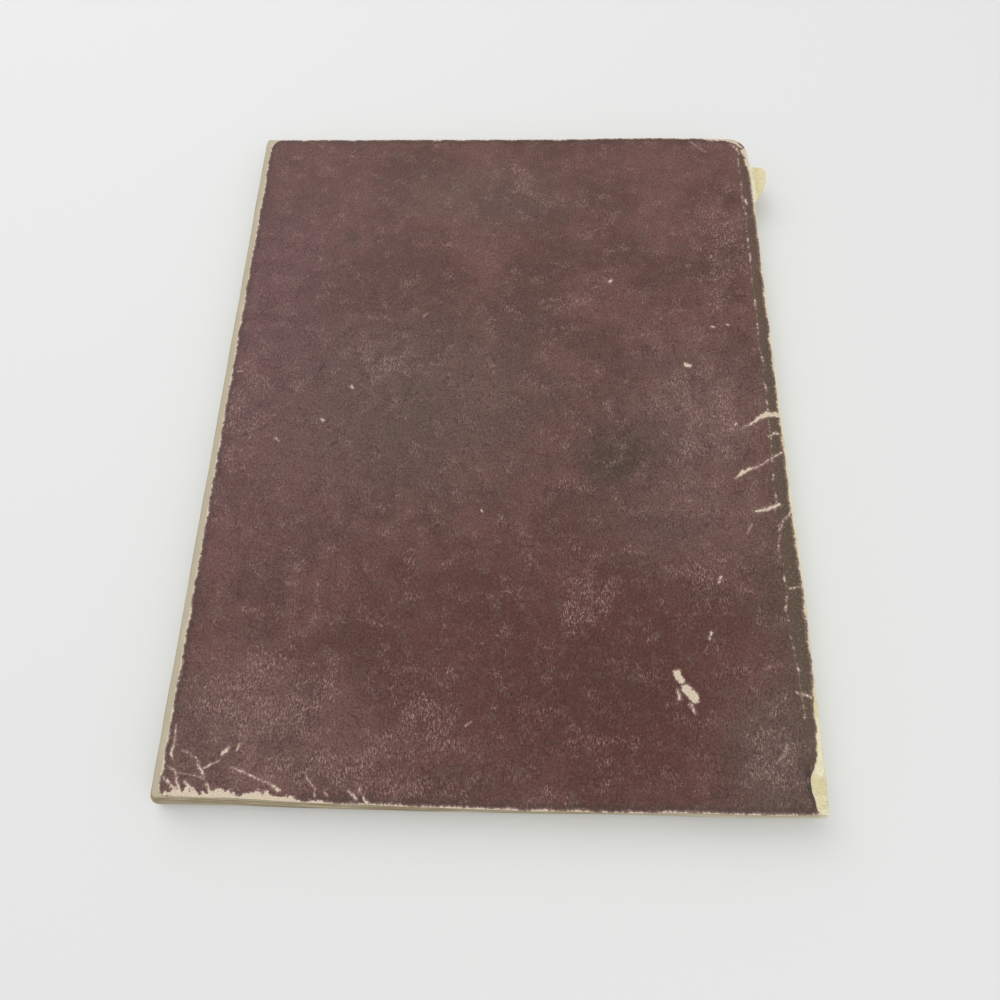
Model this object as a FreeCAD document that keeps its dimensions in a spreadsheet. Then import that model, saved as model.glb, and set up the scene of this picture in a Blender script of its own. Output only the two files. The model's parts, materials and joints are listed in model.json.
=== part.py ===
import FreeCAD, Part

import os

import Sketcher

# A worn letter-size paperback book, lying on its front cover with the spine on the right.
# +Z is up out of the back cover, +Y runs to the head of the book and +X to the spine.
# The origin is the middle of the trimmed sheet, on the outer face of the front cover.
#
# The leaves are gathered in sections that have slipped, so the lower ones stand further out
# at the fore-edge and at the outer end of the tail. A film of glue on their backs carries
# the spine lining, a paper channel that turns in over both faces of the block. The leather
# paper of the spine has worn away and leaves that lining bare. Near the head a piece of it
# is torn out of the spine and stands away as a drooping flap.
# Each cover is a card sheet, glued down along a narrow strip beside the spine and scored at
# the strip's inner edge, where it folds. So a cover is two solids: the strip that stays and
# the leaf that opens. The back strip has lost a bite of card near the tail.

SIZES = [
    # alias, value in mm (counts are plain), what it is
    ("trim_width", 215.9, "from the fore-edge of the top leaf to the outer face of the spine"),
    ("trim_height", 279.4, "from tail to head of a leaf"),
    ("block_thickness", 11.5, "all the leaves, pressed"),
    ("cover_thickness", 0.5, "one sheet of cover card"),
    ("lining_thickness", 0.3, "paper of the spine lining"),
    ("glue_thickness", 0.4, "film of glue between the leaves and the lining"),
    ("lining_turn_in", 4.0, "how far the lining reaches over the block, from the spine's outer face"),
    ("crease_inset", 4.2, "from the spine's outer face to the score that the cover folds on"),
    ("cover_fore_recess", 2.6, "card worn short of the leaves at the fore-edge"),
    ("cover_head_recess", 0.6, "card worn short of the leaves at the head"),
    ("cover_tail_recess", 0.5, "card worn short of the leaves at the tail"),
    ("cover_spine_recess", 0.6, "card worn short of the spine's outer face"),
    ("back_head_corner", 6.0, "radius of the back cover's worn corner, head and fore-edge"),
    ("front_head_corner", 3.0, "radius of the front cover's corner, head and fore-edge"),
    ("cover_tail_corner", 3.5, "radius of both covers' corners, tail and fore-edge"),
    ("spine_head_corner", 8.0, "radius of the crushed corner at the head of the spine"),
    ("leaf_head_corner", 1.0, "radius of the leaves' corners, head and fore-edge"),
    ("leaf_tail_corner", 4.0, "radius of the leaves' corners, tail and fore-edge"),
    ("section_count", 8, "sections of leaves"),
    ("fore_slip", 4.0, "how far the lowest section stands out past the top one at the fore-edge"),
    ("tail_slip", 2.2, "how far its outer tail corner stands out past the top one"),
    ("flap_from_head", 15.5, "from the head of the leaves to the flap's upper edge"),
    ("flap_length", 21.5, "the flap, along the spine"),
    ("flap_reach", 7.7, "how far the flap stands out from the spine"),
    ("flap_droop", 2.6, "how far its tip hangs below its root"),
    ("flap_corner", 3.0, "radius of its outer corner towards the head"),
    ("bite_depth", 3.3, "deepest place of the bite, from the spine's outer face"),
    ("bite_half_length", 11.0, "half the chord of the bite along the spine"),
    ("bite_from_tail", 10.4, "from the tail of the leaves to the bite's deepest place"),
]

doc = FreeCAD.newDocument("paperback_book")
sheet = doc.addObject("Spreadsheet::Sheet", "Sizes")
for row, (alias, size, meaning) in enumerate(SIZES, start=1):
    sheet.set(f"A{row}", alias)
    sheet.set(f"B{row}", str(size))
    sheet.set(f"C{row}", meaning)
    sheet.setAlias(f"B{row}", alias)
doc.recompute()

# Places that several pieces share, as expressions on the sheet.
SPINE = "Sizes.trim_width / 2"
FORE_EDGE = "Sizes.trim_width / 2"
HEAD = "Sizes.trim_height / 2"
TAIL = "Sizes.trim_height / 2"
CREASE = "Sizes.trim_width / 2 - Sizes.crease_inset"
LINING_INSIDE = "Sizes.trim_width / 2 - Sizes.lining_thickness"
LEAF_BACKS = "Sizes.trim_width / 2 - Sizes.lining_thickness - Sizes.glue_thickness"
BLOCK_BOTTOM = "Sizes.cover_thickness"
BLOCK_TOP = "Sizes.cover_thickness + Sizes.block_thickness"
SPINE_LENGTH = "Sizes.trim_height - Sizes.spine_head_corner"
FLAP_TOP = "Sizes.trim_height / 2 - Sizes.flap_from_head"
FLAP_RADIUS = "((Sizes.flap_reach^2 + Sizes.flap_droop^2) / (2 * Sizes.flap_droop))"
FLAP_OUTER_ARC = (
    "((Sizes.flap_reach^2 + (Sizes.flap_length - Sizes.flap_corner)^2) / (2 * Sizes.flap_reach))"
)
BITE_RADIUS = "((Sizes.bite_half_length^2 + Sizes.bite_depth^2) / (2 * Sizes.bite_depth))"
SPARE = 5.0  # how far a cutting tool runs past what it cuts
NODES = (
    "page_block",
    "spine_glue",
    "spine_lining",
    "back_hinge_strip",
    "back_cover",
    "front_hinge_strip",
    "front_cover",
)


def measure(expression):
    """The value in mm, or degrees, that an expression on the sheet has now."""
    found = sheet.evalExpression(expression)
    return float(getattr(found, "Value", found))


def bind(target, sizes):
    """Binds each property of target to its expression on the sheet."""
    for property_path, expression in sizes.items():
        target.setExpression(property_path, expression)
    return target


def origin_plane(body, role):
    """One of a body's own origin planes, such as XY_Plane."""
    return next(f for f in body.Origin.OriginFeatures if f.Role == role)


def name_constraints(sketch, named):
    """Adds constraints that carry a size, each named and bound to its expression."""
    for name, (constraint, expression) in named.items():
        index = sketch.addConstraint(constraint)
        sketch.renameConstraint(index, name)
        sketch.setExpression(f"Constraints.{name}", expression)


def leaf_outline(sketch, edges, corners, tail_drop=None):
    """Draws a sheet's outline seen from above: square at the tail of the spine, round elsewhere.

    edges gives how far the spine, fore, tail and head edges lie from the origin, and corners
    the radii at fore_tail, fore_head and spine_head, all as expressions. tail_drop, if given,
    is how much lower the tail edge lies at the fore-edge than at the spine.
    """
    spine, fore, tail, head = (measure(edges[k]) for k in ("spine", "fore", "tail", "head"))
    r_tail, r_head, r_spine = (measure(corners[k]) for k in ("fore_tail", "fore_head", "spine_head"))
    low = -tail - (measure(tail_drop) if tail_drop else 0.0)
    up = FreeCAD.Vector(0, 0, 1)

    def line(x1, y1, x2, y2):
        return sketch.addGeometry(
            Part.LineSegment(FreeCAD.Vector(x1, y1, 0), FreeCAD.Vector(x2, y2, 0))
        )

    def corner(x, y, radius, quarter):
        circle = Part.Circle(FreeCAD.Vector(x, y, 0), up, radius)
        start = quarter * 1.5707963267948966
        return sketch.addGeometry(Part.ArcOfCircle(circle, start, start + 1.5707963267948966))

    tail_line = line(-fore + r_tail, low, spine, -tail)
    spine_line = line(spine, -tail, spine, head - r_spine)
    spine_arc = corner(spine - r_spine, head - r_spine, r_spine, 0)
    head_line = line(spine - r_spine, head, -fore + r_head, head)
    head_arc = corner(-fore + r_head, head - r_head, r_head, 1)
    fore_line = line(-fore, head - r_head, -fore, low + r_tail)
    tail_arc = corner(-fore + r_tail, low + r_tail, r_tail, 2)

    loop = [spine_line, spine_arc, head_line, head_arc, fore_line, tail_arc, tail_line]
    for before, after in zip(loop, loop[1:]):
        sketch.addConstraint(Sketcher.Constraint("Tangent", before, 2, after, 1))
    sketch.addConstraint(Sketcher.Constraint("Coincident", tail_line, 2, spine_line, 1))
    sketch.addConstraint(Sketcher.Constraint("Vertical", spine_line))
    sketch.addConstraint(Sketcher.Constraint("Vertical", fore_line))
    sketch.addConstraint(Sketcher.Constraint("Horizontal", head_line))
    name_constraints(
        sketch,
        {
            "spine": (Sketcher.Constraint("DistanceX", -1, 1, spine_line, 1, spine), edges["spine"]),
            "tail": (Sketcher.Constraint("DistanceY", spine_line, 1, -1, 1, tail), edges["tail"]),
            "fore": (Sketcher.Constraint("DistanceX", fore_line, 1, -1, 1, fore), edges["fore"]),
            "head": (Sketcher.Constraint("DistanceY", -1, 1, head_line, 1, head), edges["head"]),
            "fore_tail": (Sketcher.Constraint("Radius", tail_arc, r_tail), corners["fore_tail"]),
            "fore_head": (Sketcher.Constraint("Radius", head_arc, r_head), corners["fore_head"]),
            "spine_head": (Sketcher.Constraint("Radius", spine_arc, r_spine), corners["spine_head"]),
        },
    )
    if tail_drop:
        slope = f"atan(({tail_drop}) / ({edges['spine']} + {edges['fore']}))"
        angle = Sketcher.Constraint("Angle", tail_line, measure(slope) * 1.5707963267948966 / 90)
        name_constraints(sketch, {"tail_slope": (angle, slope)})
    else:
        sketch.addConstraint(Sketcher.Constraint("Horizontal", tail_line))


def padded_outline(body, name, edges, corners, bottom, thickness, tail_drop=None):
    """Adds a sheet of the given thickness to a body, its underside at the height bottom."""
    sketch = body.newObject("Sketcher::SketchObject", f"{name}_outline")
    sketch.AttachmentSupport = (origin_plane(body, "XY_Plane"), [""])
    sketch.MapMode = "FlatFace"
    sketch.setExpression("AttachmentOffset.Base.z", bottom)
    leaf_outline(sketch, edges, corners, tail_drop)
    pad = body.newObject("PartDesign::Pad", f"{name}_pad")
    pad.Profile = sketch
    pad.Refine = True
    bind(pad, {"Length": thickness})
    doc.recompute()
    return pad


def placed_box(kind, name, low, size, body=None):
    """A box with its low corner and its size given as expressions, in a body or on its own."""
    made = body.newObject(kind, name) if body else doc.addObject(kind, name)
    bind(made, dict(zip(("Length", "Width", "Height"), size)))
    bind(made, dict(zip((f"Placement.Base.{axis}" for axis in "xyz"), low)))
    doc.recompute()
    return made


def page_block():
    """The leaves, one solid of slipped sections, let in where the lining turns over them."""
    body = doc.addObject("PartDesign::Body", "page_block")
    count = int(measure("Sizes.section_count"))
    each = "Sizes.block_thickness / Sizes.section_count"
    for number in range(count):
        # The slip grows fast below the top section and levels out towards the lowest one.
        depth = f"{count - 1 - number} / max(Sizes.section_count - 1; 1)"
        share = f"(1 - (1 - {depth})^2)"
        edges = {
            "spine": LEAF_BACKS,
            "fore": f"{FORE_EDGE} + Sizes.fore_slip * {share}",
            "tail": TAIL,
            "head": HEAD,
        }
        corners = {
            "fore_tail": "Sizes.leaf_tail_corner",
            "fore_head": "Sizes.leaf_head_corner",
            "spine_head": "Sizes.spine_head_corner - Sizes.lining_thickness - Sizes.glue_thickness",
        }
        bottom = f"{BLOCK_BOTTOM} + {number} * {each}"
        drop = f"Sizes.tail_slip * {share}" if number < count - 1 else None
        padded_outline(body, f"section_{number + 1}", edges, corners, bottom, each, drop)
    turn_in = "Sizes.lining_turn_in - Sizes.lining_thickness - Sizes.glue_thickness"
    for name, height in (
        ("front_rebate", BLOCK_BOTTOM),
        ("back_rebate", f"{BLOCK_TOP} - Sizes.lining_thickness"),
    ):
        low = ("Sizes.trim_width / 2 - Sizes.lining_turn_in", "-Sizes.trim_height / 2", height)
        size = (turn_in, SPINE_LENGTH, "Sizes.lining_thickness")
        placed_box("PartDesign::SubtractiveBox", name, low, size, body)
    return body


def spine_glue():
    """The film of glue on the backs of the sections, between the lining's two turn-ins."""
    low = (LEAF_BACKS, "-Sizes.trim_height / 2", f"{BLOCK_BOTTOM} + Sizes.lining_thickness")
    height = "Sizes.block_thickness - 2 * Sizes.lining_thickness"
    return placed_box("Part::Box", "spine_glue", low, ("Sizes.glue_thickness", SPINE_LENGTH, height))


def flap_outline(name):
    """A sketch of the torn flap: its root on the vertical axis, its upper edge at height 0."""
    sketch = doc.addObject("Sketcher::SketchObject", name)
    reach, length, radius = (measure(f"Sizes.flap_{k}") for k in ("reach", "length", "corner"))
    outer = measure(FLAP_OUTER_ARC)
    up = FreeCAD.Vector(0, 0, 1)
    corner_centre = FreeCAD.Vector(reach - radius, -radius, 0)
    outer_centre = FreeCAD.Vector(reach - outer, -radius, 0)
    foot = FreeCAD.Vector(0, -length, 0) - outer_centre
    foot_angle = -FreeCAD.Vector(1, 0, 0).getAngle(foot)
    root = sketch.addGeometry(
        Part.LineSegment(FreeCAD.Vector(0, -length, 0), FreeCAD.Vector(0, 0, 0))
    )
    upper = sketch.addGeometry(
        Part.LineSegment(FreeCAD.Vector(0, 0, 0), FreeCAD.Vector(reach - radius, 0, 0))
    )
    corner = sketch.addGeometry(
        Part.ArcOfCircle(Part.Circle(corner_centre, up, radius), 0, 1.5707963267948966)
    )
    side = sketch.addGeometry(Part.ArcOfCircle(Part.Circle(outer_centre, up, outer), foot_angle, 0))
    for constraint in (
        Sketcher.Constraint("Coincident", root, 2, -1, 1),
        Sketcher.Constraint("Coincident", root, 2, upper, 1),
        Sketcher.Constraint("Vertical", root),
        Sketcher.Constraint("Horizontal", upper),
        Sketcher.Constraint("Tangent", upper, 2, corner, 2),
        Sketcher.Constraint("Tangent", corner, 1, side, 2),
        Sketcher.Constraint("Coincident", side, 1, root, 1),
        Sketcher.Constraint("Horizontal", corner, 3, corner, 1),
    ):
        sketch.addConstraint(constraint)
    name_constraints(
        sketch,
        {
            "reach": (Sketcher.Constraint("DistanceX", -1, 1, corner, 1, reach), "Sizes.flap_reach"),
            "length": (Sketcher.Constraint("DistanceY", root, 1, -1, 1, length), "Sizes.flap_length"),
            "corner": (Sketcher.Constraint("Radius", corner, radius), "Sizes.flap_corner"),
        },
    )
    return sketch


def flap_prism(name, rotation, height, length, start):
    """The flap's outline as a prism, set at the spine with its upper edge at the flap's top."""
    sketch = flap_outline(f"{name}_outline")
    sketch.Placement.Rotation = rotation
    bind(
        sketch,
        {
            "Placement.Base.x": start,
            "Placement.Base.y": FLAP_TOP,
            "Placement.Base.z": height,
        },
    )
    prism = doc.addObject("Part::Extrusion", name)
    prism.Base = sketch
    prism.DirMode = "Normal"
    prism.Solid = True
    bind(prism, {"LengthFwd": length})
    doc.recompute()
    return prism


def flap_sheet():
    """The drooping sheet that the flap is cut from: a sector of a tube along the spine."""
    along_spine = FreeCAD.Rotation(
        FreeCAD.Vector(0, 0, 1), FreeCAD.Vector(1, 0, 0), FreeCAD.Vector(0, 1, 0), "ZXY"
    )
    radii = {"flap_outside": FLAP_RADIUS, "flap_inside": f"{FLAP_RADIUS} - Sizes.lining_thickness"}
    for name, radius in radii.items():
        rod = doc.addObject("Part::Cylinder", name)
        rod.Placement.Rotation = along_spine
        bind(
            rod,
            {
                "Radius": radius,
                "Height": "Sizes.flap_length",
                "Angle": "2 * atan(Sizes.flap_droop / Sizes.flap_reach) + 5 deg",
                "Placement.Base.x": SPINE,
                "Placement.Base.y": f"{FLAP_TOP} - Sizes.flap_length",
                "Placement.Base.z": f"{BLOCK_TOP} - {FLAP_RADIUS}",
            },
        )
    shell = doc.addObject("Part::Cut", "flap_sheet")
    shell.Base = doc.flap_outside
    shell.Tool = doc.flap_inside
    doc.recompute()
    return shell


def spine_lining():
    """The paper channel over the backs of the leaves, with the flap torn out and standing off."""
    tail = "-Sizes.trim_height / 2"
    wall = "Sizes.lining_thickness"
    turn_in = "Sizes.lining_turn_in"
    outside = placed_box(
        "Part::Box",
        "lining_outside",
        (f"{SPINE} - {turn_in}", tail, BLOCK_BOTTOM),
        (turn_in, SPINE_LENGTH, "Sizes.block_thickness"),
    )
    inside = placed_box(
        "Part::Box",
        "lining_inside",
        (f"{SPINE} - {turn_in} - {SPARE}", f"{tail} - {SPARE}", f"{BLOCK_BOTTOM} + {wall}"),
        (
            f"{turn_in} - {wall} + {SPARE}",
            f"{SPINE_LENGTH} + 2 * {SPARE}",
            f"Sizes.block_thickness - 2 * {wall}",
        ),
    )
    channel = doc.addObject("Part::Cut", "lining_channel")
    channel.Base = outside
    channel.Tool = inside
    # The hole that the flap left: the same outline, turned down onto the spine's face.
    on_spine = FreeCAD.Rotation(
        FreeCAD.Vector(0, 0, -1), FreeCAD.Vector(0, 1, 0), FreeCAD.Vector(1, 0, 0), "ZXY"
    )
    hole = flap_prism("torn_hole", on_spine, f"{BLOCK_TOP} - {wall}", wall, LINING_INSIDE)
    torn = doc.addObject("Part::Cut", "torn_channel")
    torn.Base = channel
    torn.Tool = hole
    plan = flap_prism("flap_plan", FreeCAD.Rotation(), BLOCK_BOTTOM, "Sizes.block_thickness", SPINE)
    flap = doc.addObject("Part::Common", "flap")
    flap.Base = flap_sheet()
    flap.Tool = plan
    lining = doc.addObject("Part::MultiFuse", "spine_lining")
    lining.Shapes = [torn, flap]
    lining.Refine = True
    doc.recompute()
    return lining


def cover_sheet(name, bottom, head_corner):
    """A body holding one whole sheet of cover card, before it is divided at the score."""
    body = doc.addObject("PartDesign::Body", name)
    edges = {
        "spine": f"{SPINE} - Sizes.cover_spine_recess",
        "fore": f"{FORE_EDGE} - Sizes.cover_fore_recess",
        "tail": f"{TAIL} - Sizes.cover_tail_recess",
        "head": f"{HEAD} - Sizes.cover_head_recess",
    }
    corners = {
        "fore_tail": "Sizes.cover_tail_corner",
        "fore_head": head_corner,
        "spine_head": "Sizes.spine_head_corner - Sizes.cover_spine_recess",
    }
    padded_outline(body, name, edges, corners, bottom, "Sizes.cover_thickness")
    return body


def cover_leaf(name, bottom, head_corner):
    """The part of a cover that opens: the sheet from the fore-edge to the score."""
    body = cover_sheet(name, bottom, head_corner)
    low = (CREASE, f"-{TAIL} - {SPARE}", f"{bottom} - {SPARE}")
    size = (
        f"Sizes.crease_inset + {SPARE}",
        f"Sizes.trim_height + 2 * {SPARE}",
        f"Sizes.cover_thickness + 2 * {SPARE}",
    )
    placed_box("PartDesign::SubtractiveBox", f"{name}_beyond_score", low, size, body)
    return body


def hinge_strip(name, bottom, head_corner):
    """The part of a cover that stays glued down: the sheet from the score to the spine."""
    body = cover_sheet(name, bottom, head_corner)
    low = (f"-{FORE_EDGE} - {SPARE}", f"-{TAIL} - {SPARE}", f"{bottom} - {SPARE}")
    size = (
        f"{CREASE} + {FORE_EDGE} + {SPARE}",
        f"Sizes.trim_height + 2 * {SPARE}",
        f"Sizes.cover_thickness + 2 * {SPARE}",
    )
    placed_box("PartDesign::SubtractiveBox", f"{name}_before_score", low, size, body)
    return body


def back_hinge_strip():
    """The back cover's glued strip, with the bite that is torn out of its outer edge."""
    body = hinge_strip("back_hinge_strip", BLOCK_TOP, "Sizes.back_head_corner")
    bite = body.newObject("PartDesign::SubtractiveCylinder", "torn_bite")
    bind(
        bite,
        {
            "Radius": BITE_RADIUS,
            "Height": f"Sizes.cover_thickness + 2 * {SPARE}",
            "Placement.Base.x": f"{SPINE} - Sizes.bite_depth + {BITE_RADIUS}",
            "Placement.Base.y": f"-{TAIL} + Sizes.bite_from_tail",
            "Placement.Base.z": f"{BLOCK_TOP} - {SPARE}",
        },
    )
    doc.recompute()
    return body


def check(made):
    """Stops the build if an object failed, or a piece isn't one sound solid."""
    failed = [o.Name for o in doc.Objects if {"Invalid", "Error"} & set(o.State)]
    if failed:
        raise RuntimeError(f"objects that failed: {failed}")
    for label, piece in made.items():
        shape = piece.Shape
        if shape.isNull() or not shape.isValid() or len(shape.Solids) != 1:
            raise RuntimeError(f"{label} isn't one sound solid")


def main():
    """Builds every piece and writes each one to its own file."""
    pieces = [
        page_block(),
        spine_glue(),
        spine_lining(),
        back_hinge_strip(),
        cover_leaf("back_cover", BLOCK_TOP, "Sizes.back_head_corner"),
        hinge_strip("front_hinge_strip", "0", "Sizes.front_head_corner"),
        cover_leaf("front_cover", "0", "Sizes.front_head_corner"),
    ]
    doc.recompute()
    made = dict(zip(NODES, pieces))
    for label, piece in made.items():
        piece.Label = label
    check(made)
    os.makedirs("parts", exist_ok=True)
    for label, piece in made.items():
        piece.Shape.exportStep(f"parts/{label}.step")
        print(f"{label}: {piece.Shape.Volume / 1000:.2f} cm3")


main()
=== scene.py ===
"""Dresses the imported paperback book: worn leather-grained covers, slipped leaves, a torn spine."""

import json
import logging
import math
from dataclasses import dataclass
from enum import Enum

import bmesh
import bpy
import numpy as np
from mathutils import Matrix, Vector, noise


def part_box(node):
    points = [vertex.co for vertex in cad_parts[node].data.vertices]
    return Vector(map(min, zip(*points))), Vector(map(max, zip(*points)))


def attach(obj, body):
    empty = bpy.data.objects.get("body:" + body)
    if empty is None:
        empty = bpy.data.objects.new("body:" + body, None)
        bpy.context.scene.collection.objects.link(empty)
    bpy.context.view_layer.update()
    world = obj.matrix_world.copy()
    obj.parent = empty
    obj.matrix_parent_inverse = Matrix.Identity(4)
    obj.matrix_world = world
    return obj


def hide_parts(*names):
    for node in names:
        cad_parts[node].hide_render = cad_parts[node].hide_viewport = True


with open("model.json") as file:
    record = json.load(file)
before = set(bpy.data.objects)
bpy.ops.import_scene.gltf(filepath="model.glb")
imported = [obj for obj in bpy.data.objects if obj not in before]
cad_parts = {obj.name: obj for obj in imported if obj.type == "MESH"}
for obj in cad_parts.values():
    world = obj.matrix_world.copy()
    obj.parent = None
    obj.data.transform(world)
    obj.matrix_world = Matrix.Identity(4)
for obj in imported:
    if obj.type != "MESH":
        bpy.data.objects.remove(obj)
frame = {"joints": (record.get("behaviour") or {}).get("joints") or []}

LOG = logging.getLogger("paperback")
MM = 0.001

Feed = bpy.types.NodeSocket | float | tuple
Point = tuple[float, float]


# Where things are, in mm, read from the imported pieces


def node_box(node: str) -> tuple[Vector, Vector]:
    """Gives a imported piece's lowest and highest corners.

    Args:
        node: the piece's name in the frame.

    Returns:
        Both corners, in mm.
    """
    low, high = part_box(node)
    return Vector(low) / MM, Vector(high) / MM


def hinge_place(joint: str) -> Vector:
    """Gives the place of a joint's axis in mm."""
    found = next(j for j in frame["joints"] if j["name"] == joint)
    return Vector(found["pos_m"]) / MM


LINING_WALL = 0.3
CREASE_X = hinge_place("back_cover_hinge").x
SPINE_X = node_box("front_hinge_strip")[1].x
SPINE_FACE_X = node_box("spine_glue")[1].x + LINING_WALL
LEAF_HALF_WIDTH = 108.0
LEAF_HALF_HEIGHT = node_box("page_block")[1].y


def eased(value: float, low: float, high: float) -> float:
    """Rises smoothly from 0 at low to 1 at high."""
    share = min(1.0, max(0.0, (value - low) / (high - low)))
    return share * share * (3.0 - 2.0 * share)


@dataclass(frozen=True)
class Ramp:
    """A smooth change from nothing to its full amount.

    Attributes:
        amount: the full amount, in mm.
        start: where it starts, in mm.
        end: from where on it is full.
    """

    amount: float
    start: float
    end: float

    def at(self, place: float) -> float:
        """Gives how much of it there is at a place, in mm."""
        return self.amount * eased(place, self.start, self.end)


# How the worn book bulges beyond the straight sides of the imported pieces, in mm.

# The bulge of the spine in its middle, and what is added or lost towards the tail. The ramps are
# measured from the book's middle to its tail.
SPINE_BOW = 1.2
STRIP_TAIL_GAIN = Ramp(0.9, 30.0, 75.0)
LINING_GAIN = Ramp(0.35, -40.0, 20.0)
LINING_TAIL_LOSS = Ramp(0.6, 45.0, 95.0)

# The bulge of the tail, with its middle and half its width, and what its two ends add. The ramps
# are measured from the book's middle to the spine and to the fore-edge.
TAIL_BOW = 1.6
TAIL_BOW_X = 12.0
TAIL_BOW_HALF_WIDTH = 95.0
TAIL_SPINE_GAIN = Ramp(0.5, 60.0, 95.0)
TAIL_FORE_GAIN = Ramp(0.25, 30.0, 70.0)
LEAVES_TAIL_GAIN = Ramp(0.6, 35.0, 85.0)

# The bulge of the head, with its middle and its reach.
HEAD_BOW = 0.9
HEAD_BOW_X = 66.0
HEAD_BOW_REACH = 24.0


def strip_bow(y: float) -> float:
    """How far the covers' strips bulge outwards at a place along the spine, in mm."""
    return SPINE_BOW * (1.0 - 0.5 * (y / LEAF_HALF_HEIGHT) ** 6) + STRIP_TAIL_GAIN.at(-y)


def spine_bow(y: float) -> float:
    """How far the backs of the leaves bulge outwards at a place along the spine, in mm."""
    return strip_bow(y) + LINING_GAIN.at(-y) - LINING_TAIL_LOSS.at(-y)


def tail_bow(x: float) -> float:
    """How far the tail bulges outwards at a place across the book, in mm."""
    middle = TAIL_BOW * max(0.0, 1.0 - ((x - TAIL_BOW_X) / TAIL_BOW_HALF_WIDTH) ** 2)
    return middle + TAIL_SPINE_GAIN.at(x) + TAIL_FORE_GAIN.at(-x)


def head_bow(x: float) -> float:
    """How far the head bulges outwards at a place across the book, in mm."""
    return HEAD_BOW * math.exp(-(((x - HEAD_BOW_X) / HEAD_BOW_REACH) ** 2))


def bowed(x: float, y: float, bow=spine_bow) -> float:
    """Moves a place beyond the crease outwards with the bulge of the spine.

    Args:
        x: the place across the book, in mm.
        y: the place along the spine, in mm.
        bow: gives the bulge at a place along the spine.

    Returns:
        The new place across the book, in mm.
    """
    if x <= CREASE_X:
        return x
    return x + bow(y) * (x - CREASE_X) / (SPINE_FACE_X - CREASE_X)


def ripple(x: float, y: float, z: float, wavelength: float) -> float:
    """Smooth noise from -1 to 1, the same each run, with features about a wavelength apart."""
    return noise.noise(Vector((x, y, z)) / wavelength)


@dataclass(frozen=True)
class Ragged:
    """How a cut side strays from a straight line: a coarse and a fine wave.

    Attributes:
        layer: tells the sides apart in the noise.
        coarse: the coarse wave's height, its seed and its length, in mm.
        fine: the same for the fine wave.
    """

    layer: float
    coarse: tuple[float, float, float]
    fine: tuple[float, float, float]

    def at(self, place: float) -> float:
        """Gives how far the side strays at a place along it, in mm."""
        return sum(
            height * ripple(place, seed, self.layer, length)
            for height, seed, length in (self.coarse, self.fine)
        )


def stations(low: float, high: float, fine: float, coarse: float, growth: float) -> list[float]:
    """Divides a length into steps that are fine at both ends and coarse between.

    Args:
        low: where the length starts, in mm.
        high: where it ends.
        fine: the step at the ends.
        coarse: the longest step.
        growth: how much the step grows for each mm from the nearer end.

    Returns:
        The places of the steps, both ends among them.
    """
    places = [low]
    while places[-1] < high:
        end = min(places[-1] - low, high - places[-1])
        places.append(places[-1] + min(coarse, fine + growth * max(0.0, end)))
    stretch = (high - low) / (places[-1] - low)
    return [low + (place - low) * stretch for place in places]


# Modelling helpers


def only(piece: bpy.types.Object) -> None:
    """Makes a piece the only selected and the active one."""
    bpy.ops.object.select_all(action="DESELECT")
    piece.select_set(True)
    bpy.context.view_layer.objects.active = piece


def grid_sheet(name: str, across: list[float], along: list[float], place) -> bpy.types.Object:
    """Models a sheet: a grid whose every crossing is set where place says.

    Args:
        name: the piece's name.
        across: the grid's places in its first direction.
        along: the grid's places in its second direction.
        place: gives a crossing's x, y and z in mm from its two places.

    Returns:
        The sheet, one layer of faces.
    """
    bpy.ops.object.select_all(action="DESELECT")
    columns, rows = len(across) - 1, len(along) - 1
    bpy.ops.mesh.primitive_grid_add(x_subdivisions=columns, y_subdivisions=rows, size=1.0)
    piece = bpy.context.object
    piece.name = piece.data.name = name
    for vertex in piece.data.vertices:
        i = round((vertex.co.x + 0.5) * columns)
        j = round((vertex.co.y + 0.5) * rows)
        vertex.co = Vector(place(across[i], along[j])) * MM
    return piece


def thicken(
    piece: bpy.types.Object, thickness: float, offset: float, back: int = 0, rim: int = 0
) -> None:
    """Gives a sheet its thickness and applies it.

    Args:
        piece: the sheet.
        thickness: its thickness in mm.
        offset: -1 puts the thickness behind the sheet's faces, 0 halves it, 1 puts it in front.
        back: how many material slots further on the back's material is.
        rim: the same for the cut edge.
    """
    only(piece)
    solid = piece.modifiers.new("card", "SOLIDIFY")
    solid.thickness = thickness * MM
    solid.offset = offset
    solid.material_offset = back
    solid.material_offset_rim = rim
    solid.use_even_offset = False
    bpy.ops.object.modifier_apply(modifier=solid.name)


def smooth(piece: bpy.types.Object, degrees: float) -> None:
    """Shades a piece smooth where its faces meet at less than an angle."""
    only(piece)
    bpy.ops.object.shade_smooth_by_angle(angle=math.radians(degrees))


def write_values(piece: bpy.types.Object, name: str, values: list[float]) -> None:
    """Keeps one number for each point of a mesh, for its material to read."""
    kept = piece.data.attributes.new(name, "FLOAT", "POINT")
    kept.data.foreach_set("value", values)


# Material helpers


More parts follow.
